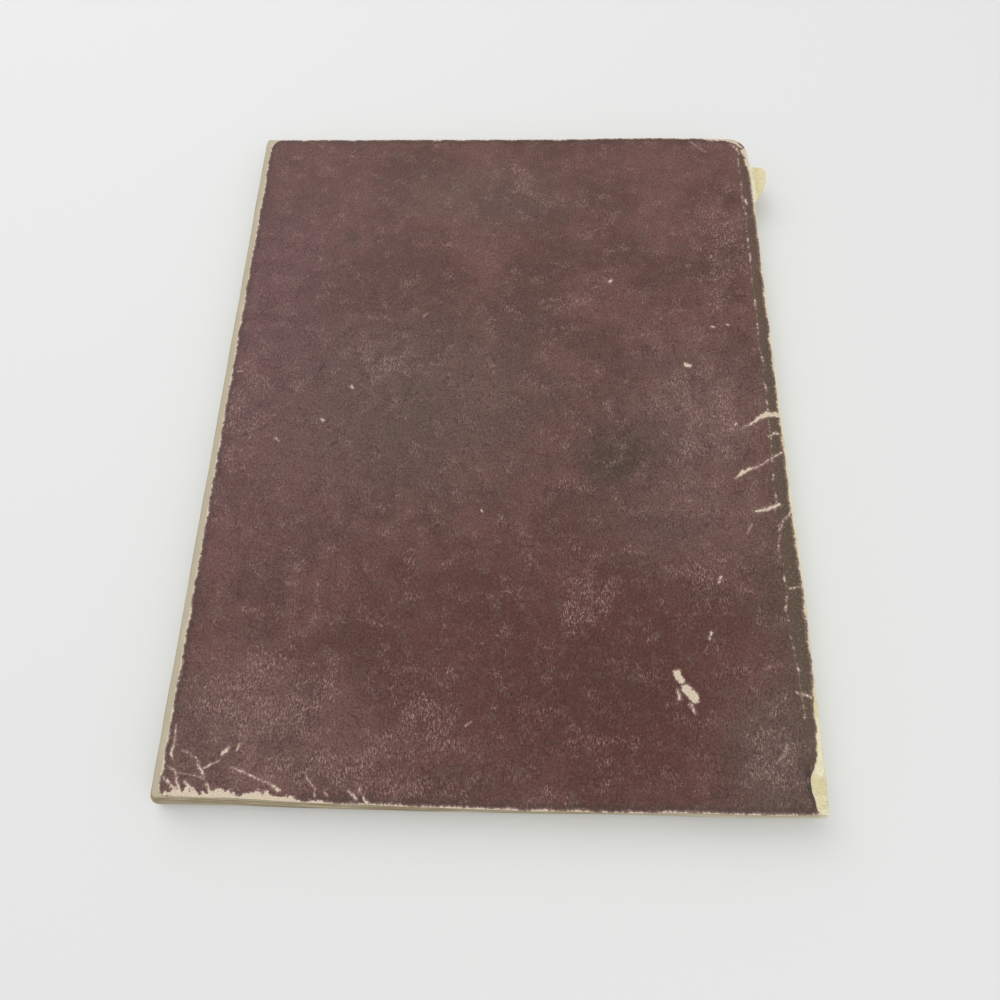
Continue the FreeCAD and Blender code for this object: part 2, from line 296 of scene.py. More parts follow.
class Graph:
    """A shader node tree under construction: each method adds a node and gives its output."""

    def __init__(self, tree: bpy.types.NodeTree, flat: bool = False) -> None:
        """Starts on a tree.

        Args:
            tree: the node tree.
            flat: whether its noise is the same at every height, which renders faster.
        """
        self.tree = tree
        self.dimensions = "2D" if flat else "3D"

    def feed(self, socket: bpy.types.NodeSocket, value: Feed) -> None:
        """Links a socket to another output, or sets its own value."""
        if isinstance(value, bpy.types.NodeSocket):
            self.tree.links.new(value, socket)
        elif isinstance(value, tuple) and socket.type == "RGBA" and len(value) == 3:
            socket.default_value = (*value, 1.0)
        else:
            socket.default_value = value

    def add(self, kind: str, feeds: dict[str | int, Feed], **settings) -> bpy.types.Node:
        """Adds a node.

        Args:
            kind: the node's type, without the word ShaderNode.
            feeds: what goes into its sockets, by name or number.
            **settings: the node's own properties.

        Returns:
            The node.
        """
        made = self.tree.nodes.new(f"ShaderNode{kind}")
        for key, value in settings.items():
            setattr(made, key, value)
        for key, value in feeds.items():
            self.feed(made.inputs[key], value)
        return made

    def math(self, operation: str, a: Feed, b: Feed = 0.0, c: Feed = 0.0) -> bpy.types.NodeSocket:
        """Calculates with numbers."""
        return self.add("Math", {0: a, 1: b, 2: c}, operation=operation).outputs[0]

    def vector(self, operation: str, a: Feed, b: Feed = (0.0, 0.0, 0.0)) -> bpy.types.NodeSocket:
        """Calculates with vectors, and gives the number of an operation that ends in one."""
        made = self.add("VectorMath", {0: a, 1: b}, operation=operation)
        number = operation in ("LENGTH", "DOT_PRODUCT", "DISTANCE")
        return made.outputs["Value" if number else "Vector"]

    def scaled(self, place: Feed, by: Feed) -> bpy.types.NodeSocket:
        """Multiplies a vector by a number."""
        made = self.add("VectorMath", {0: place, "Scale": by}, operation="SCALE")
        return made.outputs["Vector"]

    def noise(
        self, place: Feed, scale: float, detail: float = 2.0, roughness: float = 0.5
    ) -> bpy.types.NodeSocket:
        """Smooth noise around 0.5, with scale features for each mm."""
        feeds = {"Vector": place, "Scale": scale, "Detail": detail, "Roughness": roughness}
        return self.add("TexNoise", feeds, noise_dimensions=self.dimensions).outputs[0]

    def drift(self, place: Feed, scale: float, reach: float) -> bpy.types.NodeSocket:
        """Moves a place by smooth noise, up to about reach mm either way."""
        feeds = {"Vector": place, "Scale": scale, "Detail": 1.0}
        made = self.add("TexNoise", feeds, noise_dimensions=self.dimensions)
        centred = self.vector("SUBTRACT", made.outputs["Color"], (0.5, 0.5, 0.5))
        upwards = 0.0 if self.dimensions == "2D" else 2.0 * reach
        moves = self.vector("MULTIPLY", centred, (2.0 * reach, 2.0 * reach, upwards))
        return self.vector("ADD", place, moves)

    def rise(
        self, value: Feed, low: Feed, high: Feed, bottom: Feed = 0.0, top: Feed = 1.0
    ) -> bpy.types.NodeSocket:
        """Takes a value smoothly from bottom at low to top at high, and holds it beyond."""
        feeds = {"Value": value, "From Min": low, "From Max": high, "To Min": bottom, "To Max": top}
        made = self.add("MapRange", feeds, interpolation_type="SMOOTHSTEP", clamp=False)
        return made.outputs[0]

    def stretched(self, place: Feed, degrees: float, squeeze: float) -> bpy.types.NodeSocket:
        """Turns a place and squeezes it along y, so that noise there runs in strokes.

        Args:
            place: the place, in mm.
            degrees: how far it is turned.
            squeeze: how much of each mm along the strokes is left.

        Returns:
            The new place.
        """
        feeds = {
            "Vector": place,
            "Rotation": (0.0, 0.0, math.radians(degrees)),
            "Scale": (1.0, squeeze, 1.0),
        }
        return self.add("Mapping", feeds).outputs[0]

    def line(self, value: Feed, width: float) -> bpy.types.NodeSocket:
        """Is 1 where noise crosses its middle value and falls to 0 over a width."""
        off = self.math("ABSOLUTE", self.math("SUBTRACT", value, 0.5))
        return self.rise(off, 0.0, width, 1.0, 0.0)

    def mix(self, share: Feed, a: Feed, b: Feed, blend: str = "MIX") -> bpy.types.NodeSocket:
        """Mixes two colours."""
        made = self.add(
            "Mix", {0: share, 6: a, 7: b}, data_type="RGBA", blend_type=blend, clamp_factor=True
        )
        return made.outputs[2]

    def shade(self, colour: Feed, by: Feed) -> bpy.types.NodeSocket:
        """Makes a colour darker or lighter by a factor."""
        grey = self.add("CombineXYZ", {0: by, 1: by, 2: by}).outputs[0]
        return self.mix(1.0, colour, grey, "MULTIPLY")

    def kept(self, name: str) -> bpy.types.NodeSocket:
        """Reads the number that the mesh keeps under a name."""
        return self.add("Attribute", {}, attribute_name=name).outputs["Fac"]

    def use(self, group: bpy.types.NodeTree, feeds: dict[str, Feed]) -> bpy.types.Node:
        """Places a node group."""
        made = self.tree.nodes.new("ShaderNodeGroup")
        made.node_tree = group
        for key, value in feeds.items():
            self.feed(made.inputs[key], value)
        return made


@dataclass(frozen=True)
class Effect:
    """An effect that several finishes share, built once as a node group.

    Attributes:
        name: the group's name.
        takes: its inputs, each a name and a socket type.
        gives: its outputs, each a name and a socket type.
        flat: whether its noise is the same at every height.
    """

    name: str
    takes: tuple[tuple[str, str], ...]
    gives: tuple[tuple[str, str], ...]
    flat: bool = False

    def start(self) -> tuple[bpy.types.NodeTree, Graph, bpy.types.Node, bpy.types.Node]:
        """Makes the empty group with its sockets.

        Returns:
            The group, its graph, and the nodes that hold its inputs and its outputs.
        """
        group = bpy.data.node_groups.new(self.name, "ShaderNodeTree")
        for label, kind in self.takes:
            group.interface.new_socket(label, in_out="INPUT", socket_type=f"NodeSocket{kind}")
        for label, kind in self.gives:
            group.interface.new_socket(label, in_out="OUTPUT", socket_type=f"NodeSocket{kind}")
        entry = group.nodes.new("NodeGroupInput")
        leave = group.nodes.new("NodeGroupOutput")
        return group, Graph(group, self.flat), entry, leave


class Effects:
    """The node groups that the finishes share."""

    def __init__(self) -> None:
        """Builds every group."""
        self.streak = self._streak()
        self.patch = self._patch()
        self.grain = self._grain()
        self.relief = self._relief()
        self.scuffs = self._scuffs()
        self.paper = self._paper()

    @staticmethod
    def _streak() -> bpy.types.NodeTree:
        """How deep a place lies inside a straight streak with round ends, in mm.

        Slope is the span divided by the square of its length, so that no division is left.
        """
        effect = Effect(
            "worn_streak",
            (
                ("Place", "Vector"),
                ("Start", "Vector"),
                ("Span", "Vector"),
                ("Slope", "Vector"),
                ("Width", "Float"),
                ("Widening", "Float"),
            ),
            (("Depth", "Float"),),
        )
        group, graph, entry, leave = effect.start()
        ins = entry.outputs
        away = graph.vector("SUBTRACT", ins["Place"], ins["Start"])
        along = graph.vector("DOT_PRODUCT", away, ins["Slope"])
        share = graph.math("MAXIMUM", graph.math("MINIMUM", along, 1.0), 0.0)
        nearest = graph.scaled(ins["Span"], share)
        distance = graph.vector("DISTANCE", away, nearest)
        width = graph.math("MULTIPLY_ADD", share, ins["Widening"], ins["Width"])
        graph.feed(leave.inputs["Depth"], graph.math("SUBTRACT", width, distance))
        return group

    @staticmethod
    def _patch() -> bpy.types.NodeTree:
        """A soft oval patch."""
        effect = Effect(
            "soft_patch",
            (("Place", "Vector"), ("Centre", "Vector"), ("Reach", "Vector")),
            (("Mask", "Float"),),
        )
        group, graph, entry, leave = effect.start()
        ins = entry.outputs
        away = graph.vector("SUBTRACT", ins["Place"], ins["Centre"])
        shares = graph.vector("DIVIDE", away, ins["Reach"])
        mask = graph.rise(graph.vector("LENGTH", shares), 0.15, 1.0, 1.0, 0.0)
        graph.feed(leave.inputs["Mask"], mask)
        return group

    @staticmethod
    def _relief() -> bpy.types.NodeTree:
        """The height of the leather grain: small pebbles on an uneven ground."""
        effect = Effect("grain_relief", (("Place", "Vector"),), (("Height", "Float"),), flat=True)
        group, graph, entry, leave = effect.start()
        place = entry.outputs["Place"]
        pebbles = graph.add(
            "TexVoronoi", {"Vector": place, "Scale": 1.05}, voronoi_dimensions="2D"
        ).outputs["Distance"]
        swell = graph.noise(place, 0.9, 3.0, 0.7)
        height = graph.math("MULTIPLY_ADD", pebbles, -0.7, graph.math("MULTIPLY", swell, 1.7))
        graph.feed(leave.inputs["Height"], height)
        return group

    @staticmethod
    def _grain() -> bpy.types.NodeTree:
        """The tone of the leather grain: its dark veins and its fine mottle."""
        effect = Effect(
            "leather_grain",
            (("Place", "Vector"), ("Creasing", "Float")),
            (("Veins", "Float"), ("Mottle", "Float")),
            flat=True,
        )
        group, graph, entry, leave = effect.start()
        place = graph.drift(graph.drift(entry.outputs["Place"], 0.16, 2.2), 0.7, 0.7)
        gaps = graph.rise(graph.noise(entry.outputs["Place"], 0.11, 4.0, 0.7), 0.4, 0.62)
        cells = graph.add(
            "TexVoronoi",
            {"Vector": place, "Scale": 0.36},
            feature="DISTANCE_TO_EDGE",
            voronoi_dimensions="2D",
        ).outputs["Distance"]
        wrinkles = graph.math("MULTIPLY", graph.rise(cells, 0.0, 0.1, 1.0, 0.0), gaps)
        fine = graph.line(graph.noise(place, 0.6, 3.0, 0.6), 0.035)
        folds = graph.math("MAXIMUM", wrinkles, graph.math("MULTIPLY", fine, 0.6))
        graph.feed(leave.inputs["Veins"], graph.math("MULTIPLY", folds, entry.outputs["Creasing"]))
        graph.feed(leave.inputs["Mottle"], graph.noise(entry.outputs["Place"], 1.4, 3.0, 0.78))
        return group

    @staticmethod
    def _scuffs() -> bpy.types.NodeTree:
        """Fine pale specks and strokes where the grain's tops are rubbed, in clusters."""
        effect = Effect(
            "rubbed_strokes",
            (("Place", "Vector"), ("Amount", "Float")),
            (("Mask", "Float"),),
            flat=True,
        )
        group, graph, entry, leave = effect.start()
        place = graph.drift(entry.outputs["Place"], 0.35, 0.5)
        upright = graph.noise(graph.stretched(place, 12.0, 0.32), 2.3, 2.0, 0.75)
        slanted = graph.noise(graph.stretched(place, -36.0, 0.32), 1.8, 2.0, 0.75)
        strokes = graph.math(
            "MAXIMUM", graph.rise(upright, 0.56, 0.66), graph.rise(slanted, 0.57, 0.67)
        )
        clusters = graph.noise(place, 0.12, 5.0, 0.74)
        level = graph.math("ADD", clusters, entry.outputs["Amount"])
        gathered = graph.rise(level, 0.44, 0.72, 0.08, 1.0)
        graph.feed(leave.inputs["Mask"], graph.math("MULTIPLY", strokes, gathered))
        return group

    @staticmethod
    def _paper() -> bpy.types.NodeTree:
        """Aged paper: its fibres' height, its uneven tone and small brown spots."""
        effect = Effect(
            "aged_paper",
            (("Place", "Vector"),),
            (("Height", "Float"), ("Tone", "Float"), ("Spots", "Float")),
        )
        group, graph, entry, leave = effect.start()
        place = entry.outputs["Place"]
        fibres = graph.noise(place, 2.6, 3.0, 0.7)
        tone = graph.noise(place, 0.05, 5.0, 0.6)
        spots = graph.rise(graph.noise(place, 0.16, 5.0, 0.75), 0.66, 0.76)
        graph.feed(leave.inputs["Height"], fibres)
        graph.feed(leave.inputs["Tone"], tone)
        graph.feed(leave.inputs["Spots"], spots)
        return group


@dataclass(frozen=True)
class Palette:
    """The object's colours, linear red, green and blue."""

    maroon: tuple = (0.154, 0.066, 0.055)
    maroon_deep: tuple = (0.104, 0.044, 0.034)
    plum: tuple = (0.148, 0.071, 0.074)
    russet: tuple = (0.084, 0.020, 0.011)
    # olive_grey: the skin's own olive tone, and also the painted sheen near the tail of the spine
    olive_grey: tuple = (0.118, 0.079, 0.062)
    pale_plum: tuple = (0.172, 0.099, 0.086)
    # soot_and_shadow: soot and dirt, and also the painted shadow inside the torn bite
    soot_and_shadow: tuple = (0.045, 0.033, 0.024)
    vein: tuple = (0.030, 0.018, 0.014)
    rubbed_pink: tuple = (0.40, 0.255, 0.225)
    pale_skin: tuple = (0.60, 0.47, 0.39)
    cream_core: tuple = (0.74, 0.65, 0.46)
    strip_brown: tuple = (0.090, 0.064, 0.038)
    page: tuple = (0.68, 0.615, 0.47)
    page_shade: tuple = (0.47, 0.415, 0.305)
    # page_stain_and_shade: brown stains on the paper, and also the painted shade in the grooves
    # between sections
    page_stain_and_shade: tuple = (0.34, 0.25, 0.14)
    lining: tuple = (0.85, 0.79, 0.56)
    glue_ochre: tuple = (0.70, 0.60, 0.32)
    glue: tuple = (0.30, 0.25, 0.16)
    card_back: tuple = (0.50, 0.40, 0.29)
    table: tuple = (0.79, 0.80, 0.79)


COLOURS = Palette()


@dataclass(frozen=True)
class Mark:
    """A place where the cover's skin is cracked or rubbed off, as a chain of streaks.

    Attributes:
        points: the chain's corners on the cover, in mm.
        widths: half its width at each corner, in mm.
    """

    points: tuple[Point, ...]
    widths: tuple[float, ...]

    def reaches(self, places: np.ndarray, margin: float) -> np.ndarray:
        """Tells which places lie within a margin of the chain.

        Args:
            places: a row for each place, in mm.
            margin: the margin beyond the mark's own width, in mm.

        Returns:
            Whether each place does.
        """
        near = np.zeros(len(places), dtype=bool)
        for start, end in zip(np.array(self.points), np.array(self.points[1:])):
            span = end - start
            share = np.clip((places - start) @ span / (span @ span), 0.0, 1.0)
            off = places - start - share[:, None] * span
            near |= np.hypot(off[:, 0], off[:, 1]) < margin + max(self.widths)
        return near


@dataclass(frozen=True)
class ColourPatch:
    """A soft patch of another colour on the cover.

    Attributes:
        centre: its middle, in mm.
        reach: how far it reaches each way, in mm.
        colour: its colour.
        strength: how much of that colour it has at its middle.
    """

    centre: Point
    reach: Point
    colour: tuple[float, float, float]
    strength: float


CORNER_MARKS = (
    # the corner of the tail and the fore-edge, cracked by bending
    Mark(((-103.4, -117.2), (-102.8, -123.0), (-103.5, -126.5)), (0.12, 0.36, 0.48)),
    Mark(((-103.5, -126.5), (-102.2, -128.6)), (0.48, 0.16)),
    Mark(
        ((-104.3, -130.0), (-101.6, -131.3), (-99.9, -134.7), (-98.7, -138.0)),
        (0.16, 0.32, 0.4, 0.56),
    ),
    Mark(
        ((-99.9, -125.3), (-95.3, -127.2), (-92.7, -131.2), (-91.2, -133.4)),
        (0.12, 0.2, 0.4, 0.24),
    ),
    Mark(((-90.3, -135.1), (-88.3, -138.2)), (0.24, 0.64)),
    Mark(((-92.7, -131.2), (-87.0, -128.0)), (0.36, 0.24)),
    Mark(((-86.0, -126.0), (-84.8, -124.3)), (0.6, 0.48)),
    Mark(((-81.5, -124.8), (-81.1, -122.9)), (0.36, 0.32)),
    Mark(((-105.8, -133.0), (-102.8, -135.1), (-99.6, -137.6)), (0.16, 0.32, 0.56)),
    Mark(((-97.2, -134.9), (-94.9, -137.2), (-94.1, -138.6)), (0.44, 0.6, 0.72)),
    Mark(((-99.5, -132.2), (-94.1, -133.0), (-91.2, -133.9)), (0.1, 0.16, 0.12)),
    Mark(
        ((-82.8, -130.1), (-79.9, -130.9), (-73.7, -133.4), (-68.4, -135.4)),
        (0.1, 0.32, 0.2, 0.24),
    ),
    Mark(((-68.4, -135.4), (-66.4, -136.7)), (0.48, 0.6)),
    Mark(((-57.8, -132.6), (-54.6, -135.9)), (0.28, 0.28)),
    Mark(((-54.5, -136.3), (-54.5, -138.3)), (0.2, 0.2)),
    Mark(((-51.2, -136.8), (-50.5, -138.2)), (0.24, 0.2)),
    Mark(((-43.7, -136.3), (-41.2, -138.4)), (0.4, 0.56)),
    Mark(((-40.0, -134.9), (-40.2, -136.6)), (0.24, 0.24)),
    Mark(((-38.8, -138.0), (-37.6, -139.8)), (0.32, 0.56)),
    Mark(((-102.9, 18.0), (-101.4, 18.1)), (0.28, 0.2)),
)

SPINE_MARKS = (
    # the cracks that run in from the spine
    Mark(
        ((108.4, 0.1), (106.6, 1.3), (103.4, 1.3), (100.0, -0.6), (97.3, -2.9), (93.8, -4.6)),
        (0.7, 1.15, 1.2, 0.8, 0.45, 0.2),
    ),
    Mark(((91.8, -2.7), (89.1, -5.9)), (0.3, 0.15)),
    Mark(((103.4, -7.9), (105.4, -6.8), (107.5, -6.9)), (0.3, 0.45, 0.4)),
    Mark(((108.6, -14.1), (104.5, -16.4), (99.1, -20.0), (95.4, -21.6)), (0.35, 0.3, 0.3, 0.4)),
    Mark(((95.0, -21.6), (92.2, -22.9), (89.3, -25.5)), (0.7, 0.85, 0.25)),
    Mark(((104.5, -35.5), (102.3, -36.4), (95.9, -38.4)), (0.55, 0.75, 0.5)),
    Mark(((108.2, -38.6), (105.0, -41.8), (103.2, -45.5)), (0.4, 0.25, 0.35)),
    Mark(((93.6, -43.2), (91.8, -46.8)), (0.25, 0.15)),
    Mark(((104.3, -66.9), (107.8, -66.1)), (0.3, 0.3)),
    Mark(((103.2, -102.4), (107.4, -103.6)), (0.35, 0.45)),
    # a scratch near the tail, and the crushed corner at the head of the spine
    Mark(((98.0, -118.9), (96.9, -121.6), (93.6, -124.8)), (0.05, 0.3, 0.0)),
    Mark(((103.6, 133.4), (104.4, 130.9)), (0.5, 0.4)),
    Mark(((101.4, 136.0), (102.8, 134.6)), (0.3, 0.5)),
    Mark(((99.0, 138.4), (103.5, 137.0), (106.6, 133.6)), (0.3, 0.8, 0.5)),
    Mark(((105.6, 132.4), (106.4, 129.0)), (0.5, 0.2)),
    Mark(((83.0, 138.0), (90.0, 131.5)), (0.14, 0.1)),
    Mark(((104.9, 104.6), (105.3, 102.4)), (0.5, 0.35)),
)

SINGLE_MARKS = (
    # the scrape near the spine, and single spots
    Mark(((63.6, -96.8), (64.9, -99.2)), (1.35, 1.2)),
    Mark(((66.2, -101.5), (69.0, -104.9)), (1.45, 1.75)),
    Mark(((63.5, -102.6), (64.2, -105.2)), (0.6, 0.5)),
    Mark(((67.5, -107.0), (68.8, -109.4)), (0.6, 0.35)),
    Mark(((74.0, 22.7), (75.7, 22.2)), (0.85, 0.8)),
    Mark(((45.5, 61.9), (46.2, 62.7)), (0.6, 0.5)),
    Mark(((-57.0, 11.6), (-56.0, 11.0)), (0.5, 0.4)),
    Mark(((-67.0, -3.0), (-66.4, -3.4)), (0.5, 0.4)),
    Mark(((-30.6, 44.6), (-29.0, 45.6)), (0.2, 0.3)),
    Mark(((-3.8, -39.5), (-3.6, -39.8)), (0.4, 0.4)),
    Mark(((-6.8, -115.4), (-4.8, -114.1)), (0.3, 0.2)),
    Mark(((85.6, 40.3), (86.7, 40.0)), (0.5, 0.35)),
    Mark(((91.7, 41.3), (92.3, 41.1)), (0.4, 0.3)),
    Mark(((75.4, -85.2), (76.3, -82.9)), (0.45, 0.35)),
    Mark(((80.2, -64.9), (80.9, -63.4)), (0.5, 0.5)),
    Mark(((-84.2, -11.2), (-82.6, -12.4)), (0.45, 0.3)),
)

FRONT_MARKS = (
    Mark(((-104.0, -122.0), (-100.5, -126.5), (-98.0, -133.0)), (0.2, 0.4, 0.3)),
    Mark(((-102.5, -133.5), (-97.0, -136.5)), (0.3, 0.5)),
    Mark(((108.0, -31.0), (101.0, -33.5)), (0.6, 0.3)),
    Mark(((108.0, 44.0), (103.0, 42.5)), (0.4, 0.25)),
)

# Soft patches on the back cover: stains and tones, with a painted shadow and a painted sheen among
# them
BACK_STAINS_AND_PAINTED_LIGHT = (
    ColourPatch((100.0, -78.0), (17.0, 66.0), COLOURS.strip_brown, 0.55),
    ColourPatch((-88.0, 40.0), (70.0, 150.0), COLOURS.plum, 0.75),
    ColourPatch((10.0, -92.0), (115.0, 66.0), COLOURS.russet, 0.7),
    ColourPatch((46.0, -108.0), (60.0, 56.0), COLOURS.russet, 0.75),
    ColourPatch((-30.0, 8.0), (80.0, 66.0), COLOURS.olive_grey, 0.6),
    ColourPatch((78.0, 0.0), (48.0, 50.0), COLOURS.pale_plum, 0.6),
    ColourPatch((74.0, -42.0), (52.0, 28.0), COLOURS.pale_plum, 0.45),
    ColourPatch((-86.0, -122.0), (72.0, 40.0), COLOURS.pale_plum, 0.5),
    ColourPatch((50.0, -14.0), (32.0, 26.0), COLOURS.soot_and_shadow, 0.42),
    ColourPatch((44.0, -18.0), (17.0, 13.0), COLOURS.soot_and_shadow, 0.6),
    ColourPatch((55.0, 23.0), (26.0, 9.0), COLOURS.soot_and_shadow, 0.25),
    ColourPatch((61.0, -48.0), (20.0, 13.0), COLOURS.soot_and_shadow, 0.25),
    ColourPatch((-34.0, -10.0), (26.0, 30.0), COLOURS.soot_and_shadow, 0.2),
    ColourPatch((42.0, -99.0), (34.0, 22.0), COLOURS.soot_and_shadow, 0.15),
    # painted sheen: this greyer patch near the tail of the spine stands in for the sheen of the
    # shiny skin there
    ColourPatch((96.0, -124.0), (30.0, 36.0), COLOURS.olive_grey, 0.7),
    ColourPatch((-9.0, 106.0), (60.0, 30.0), COLOURS.olive_grey, 0.45),
    ColourPatch((-66.0, 82.5), (4.5, 5.5), COLOURS.soot_and_shadow, 0.4),
    ColourPatch((-95.0, 127.0), (6.0, 4.5), COLOURS.soot_and_shadow, 0.4),
    ColourPatch((-46.0, 58.0), (50.0, 30.0), COLOURS.maroon_deep, 0.6),
    # painted shadow: this dark band just inside the torn bite stands in for the shade under the
    # strip's torn edge
    ColourPatch((104.6, -132.5), (2.4, 10.0), COLOURS.soot_and_shadow, 1.0),
)

FRONT_STAINS = (
    ColourPatch((-30.0, -40.0), (70.0, 60.0), COLOURS.olive_grey, 0.5),
    ColourPatch((40.0, 70.0), (60.0, 60.0), COLOURS.plum, 0.6),
    ColourPatch((50.0, -80.0), (60.0, 50.0), COLOURS.russet, 0.6),
)

RUBBED_PLACES = (
    # centre and reach of the places on the back cover that are rubbed the most
    ((7.0, 115.0), (9.0, 14.0)),
    ((24.0, 52.0), (16.0, 11.0)),
    ((-45.0, 22.0), (22.0, 14.0)),
    ((79.0, 0.0), (26.0, 36.0)),
    ((78.0, -64.0), (12.0, 20.0)),
    ((36.0, -70.0), (16.0, 16.0)),
    ((-20.0, -112.0), (18.0, 22.0)),
    ((-76.0, -108.0), (34.0, 26.0)),
    ((-98.0, -4.0), (14.0, 44.0)),
    ((92.0, 80.0), (18.0, 50.0)),
    ((96.0, -122.0), (16.0, 20.0)),
    ((-45.0, -132.0), (60.0, 12.0)),
)


class Side(Enum):
    """Which of the two covers a finish is for."""

    BACK = "back"
    FRONT = "front"


# The marks of each cover in groups, and whether a group lies near the outline or the score.
MARKS = {
    Side.BACK: ((CORNER_MARKS, True), (SPINE_MARKS, True), (SINGLE_MARKS, False)),
    Side.FRONT: ((FRONT_MARKS, True),),
}
STAINS_AND_PAINTED_LIGHT = {Side.BACK: BACK_STAINS_AND_PAINTED_LIGHT, Side.FRONT: FRONT_STAINS}


@dataclass(frozen=True)
class LeatherLook:
    """How strong each part of the leather card's look is.

    Attributes:
        dull_mottle: the tone of the darkest specks of the mottle.
        bright_mottle: the tone of its brightest specks.
        veins: how dark the veins are.
        scuffs: how pale the rubbed specks are.
        worn_scuffs: what the most rubbed places add to the amount of specks.
        few_scuffs: the amount on the rest of the back cover; below 0 there are fewer.
        front_scuffs: the amount on the front cover.
        plain_place: the middle of the place with few veins.
        plain_reach: how far that place reaches.
        plainness: how many of its veins it lacks.
        smoothest: the roughness of the skin where it shines the most.
        roughest: the roughness where it shines the least.
        scuff_roughness: what a rubbed speck adds.
        bare_roughness: the roughness of the bare core.
        shine: the strength of its mirror-like light.
        relief: the height of the grain, in mm.
    """

    dull_mottle: float = 0.54
    bright_mottle: float = 1.48
    veins: float = 0.7
    scuffs: float = 0.85
    worn_scuffs: float = 0.15
    few_scuffs: float = -0.04
    front_scuffs: float = -0.02
    plain_place: Point = (10.0, 112.0)
    plain_reach: Point = (150.0, 62.0)
    plainness: float = 0.8
    smoothest: float = 0.5
    roughest: float = 0.62
    scuff_roughness: float = 0.14
    bare_roughness: float = 0.92
    shine: float = 0.3
    relief: float = 0.16


LOOK = LeatherLook()


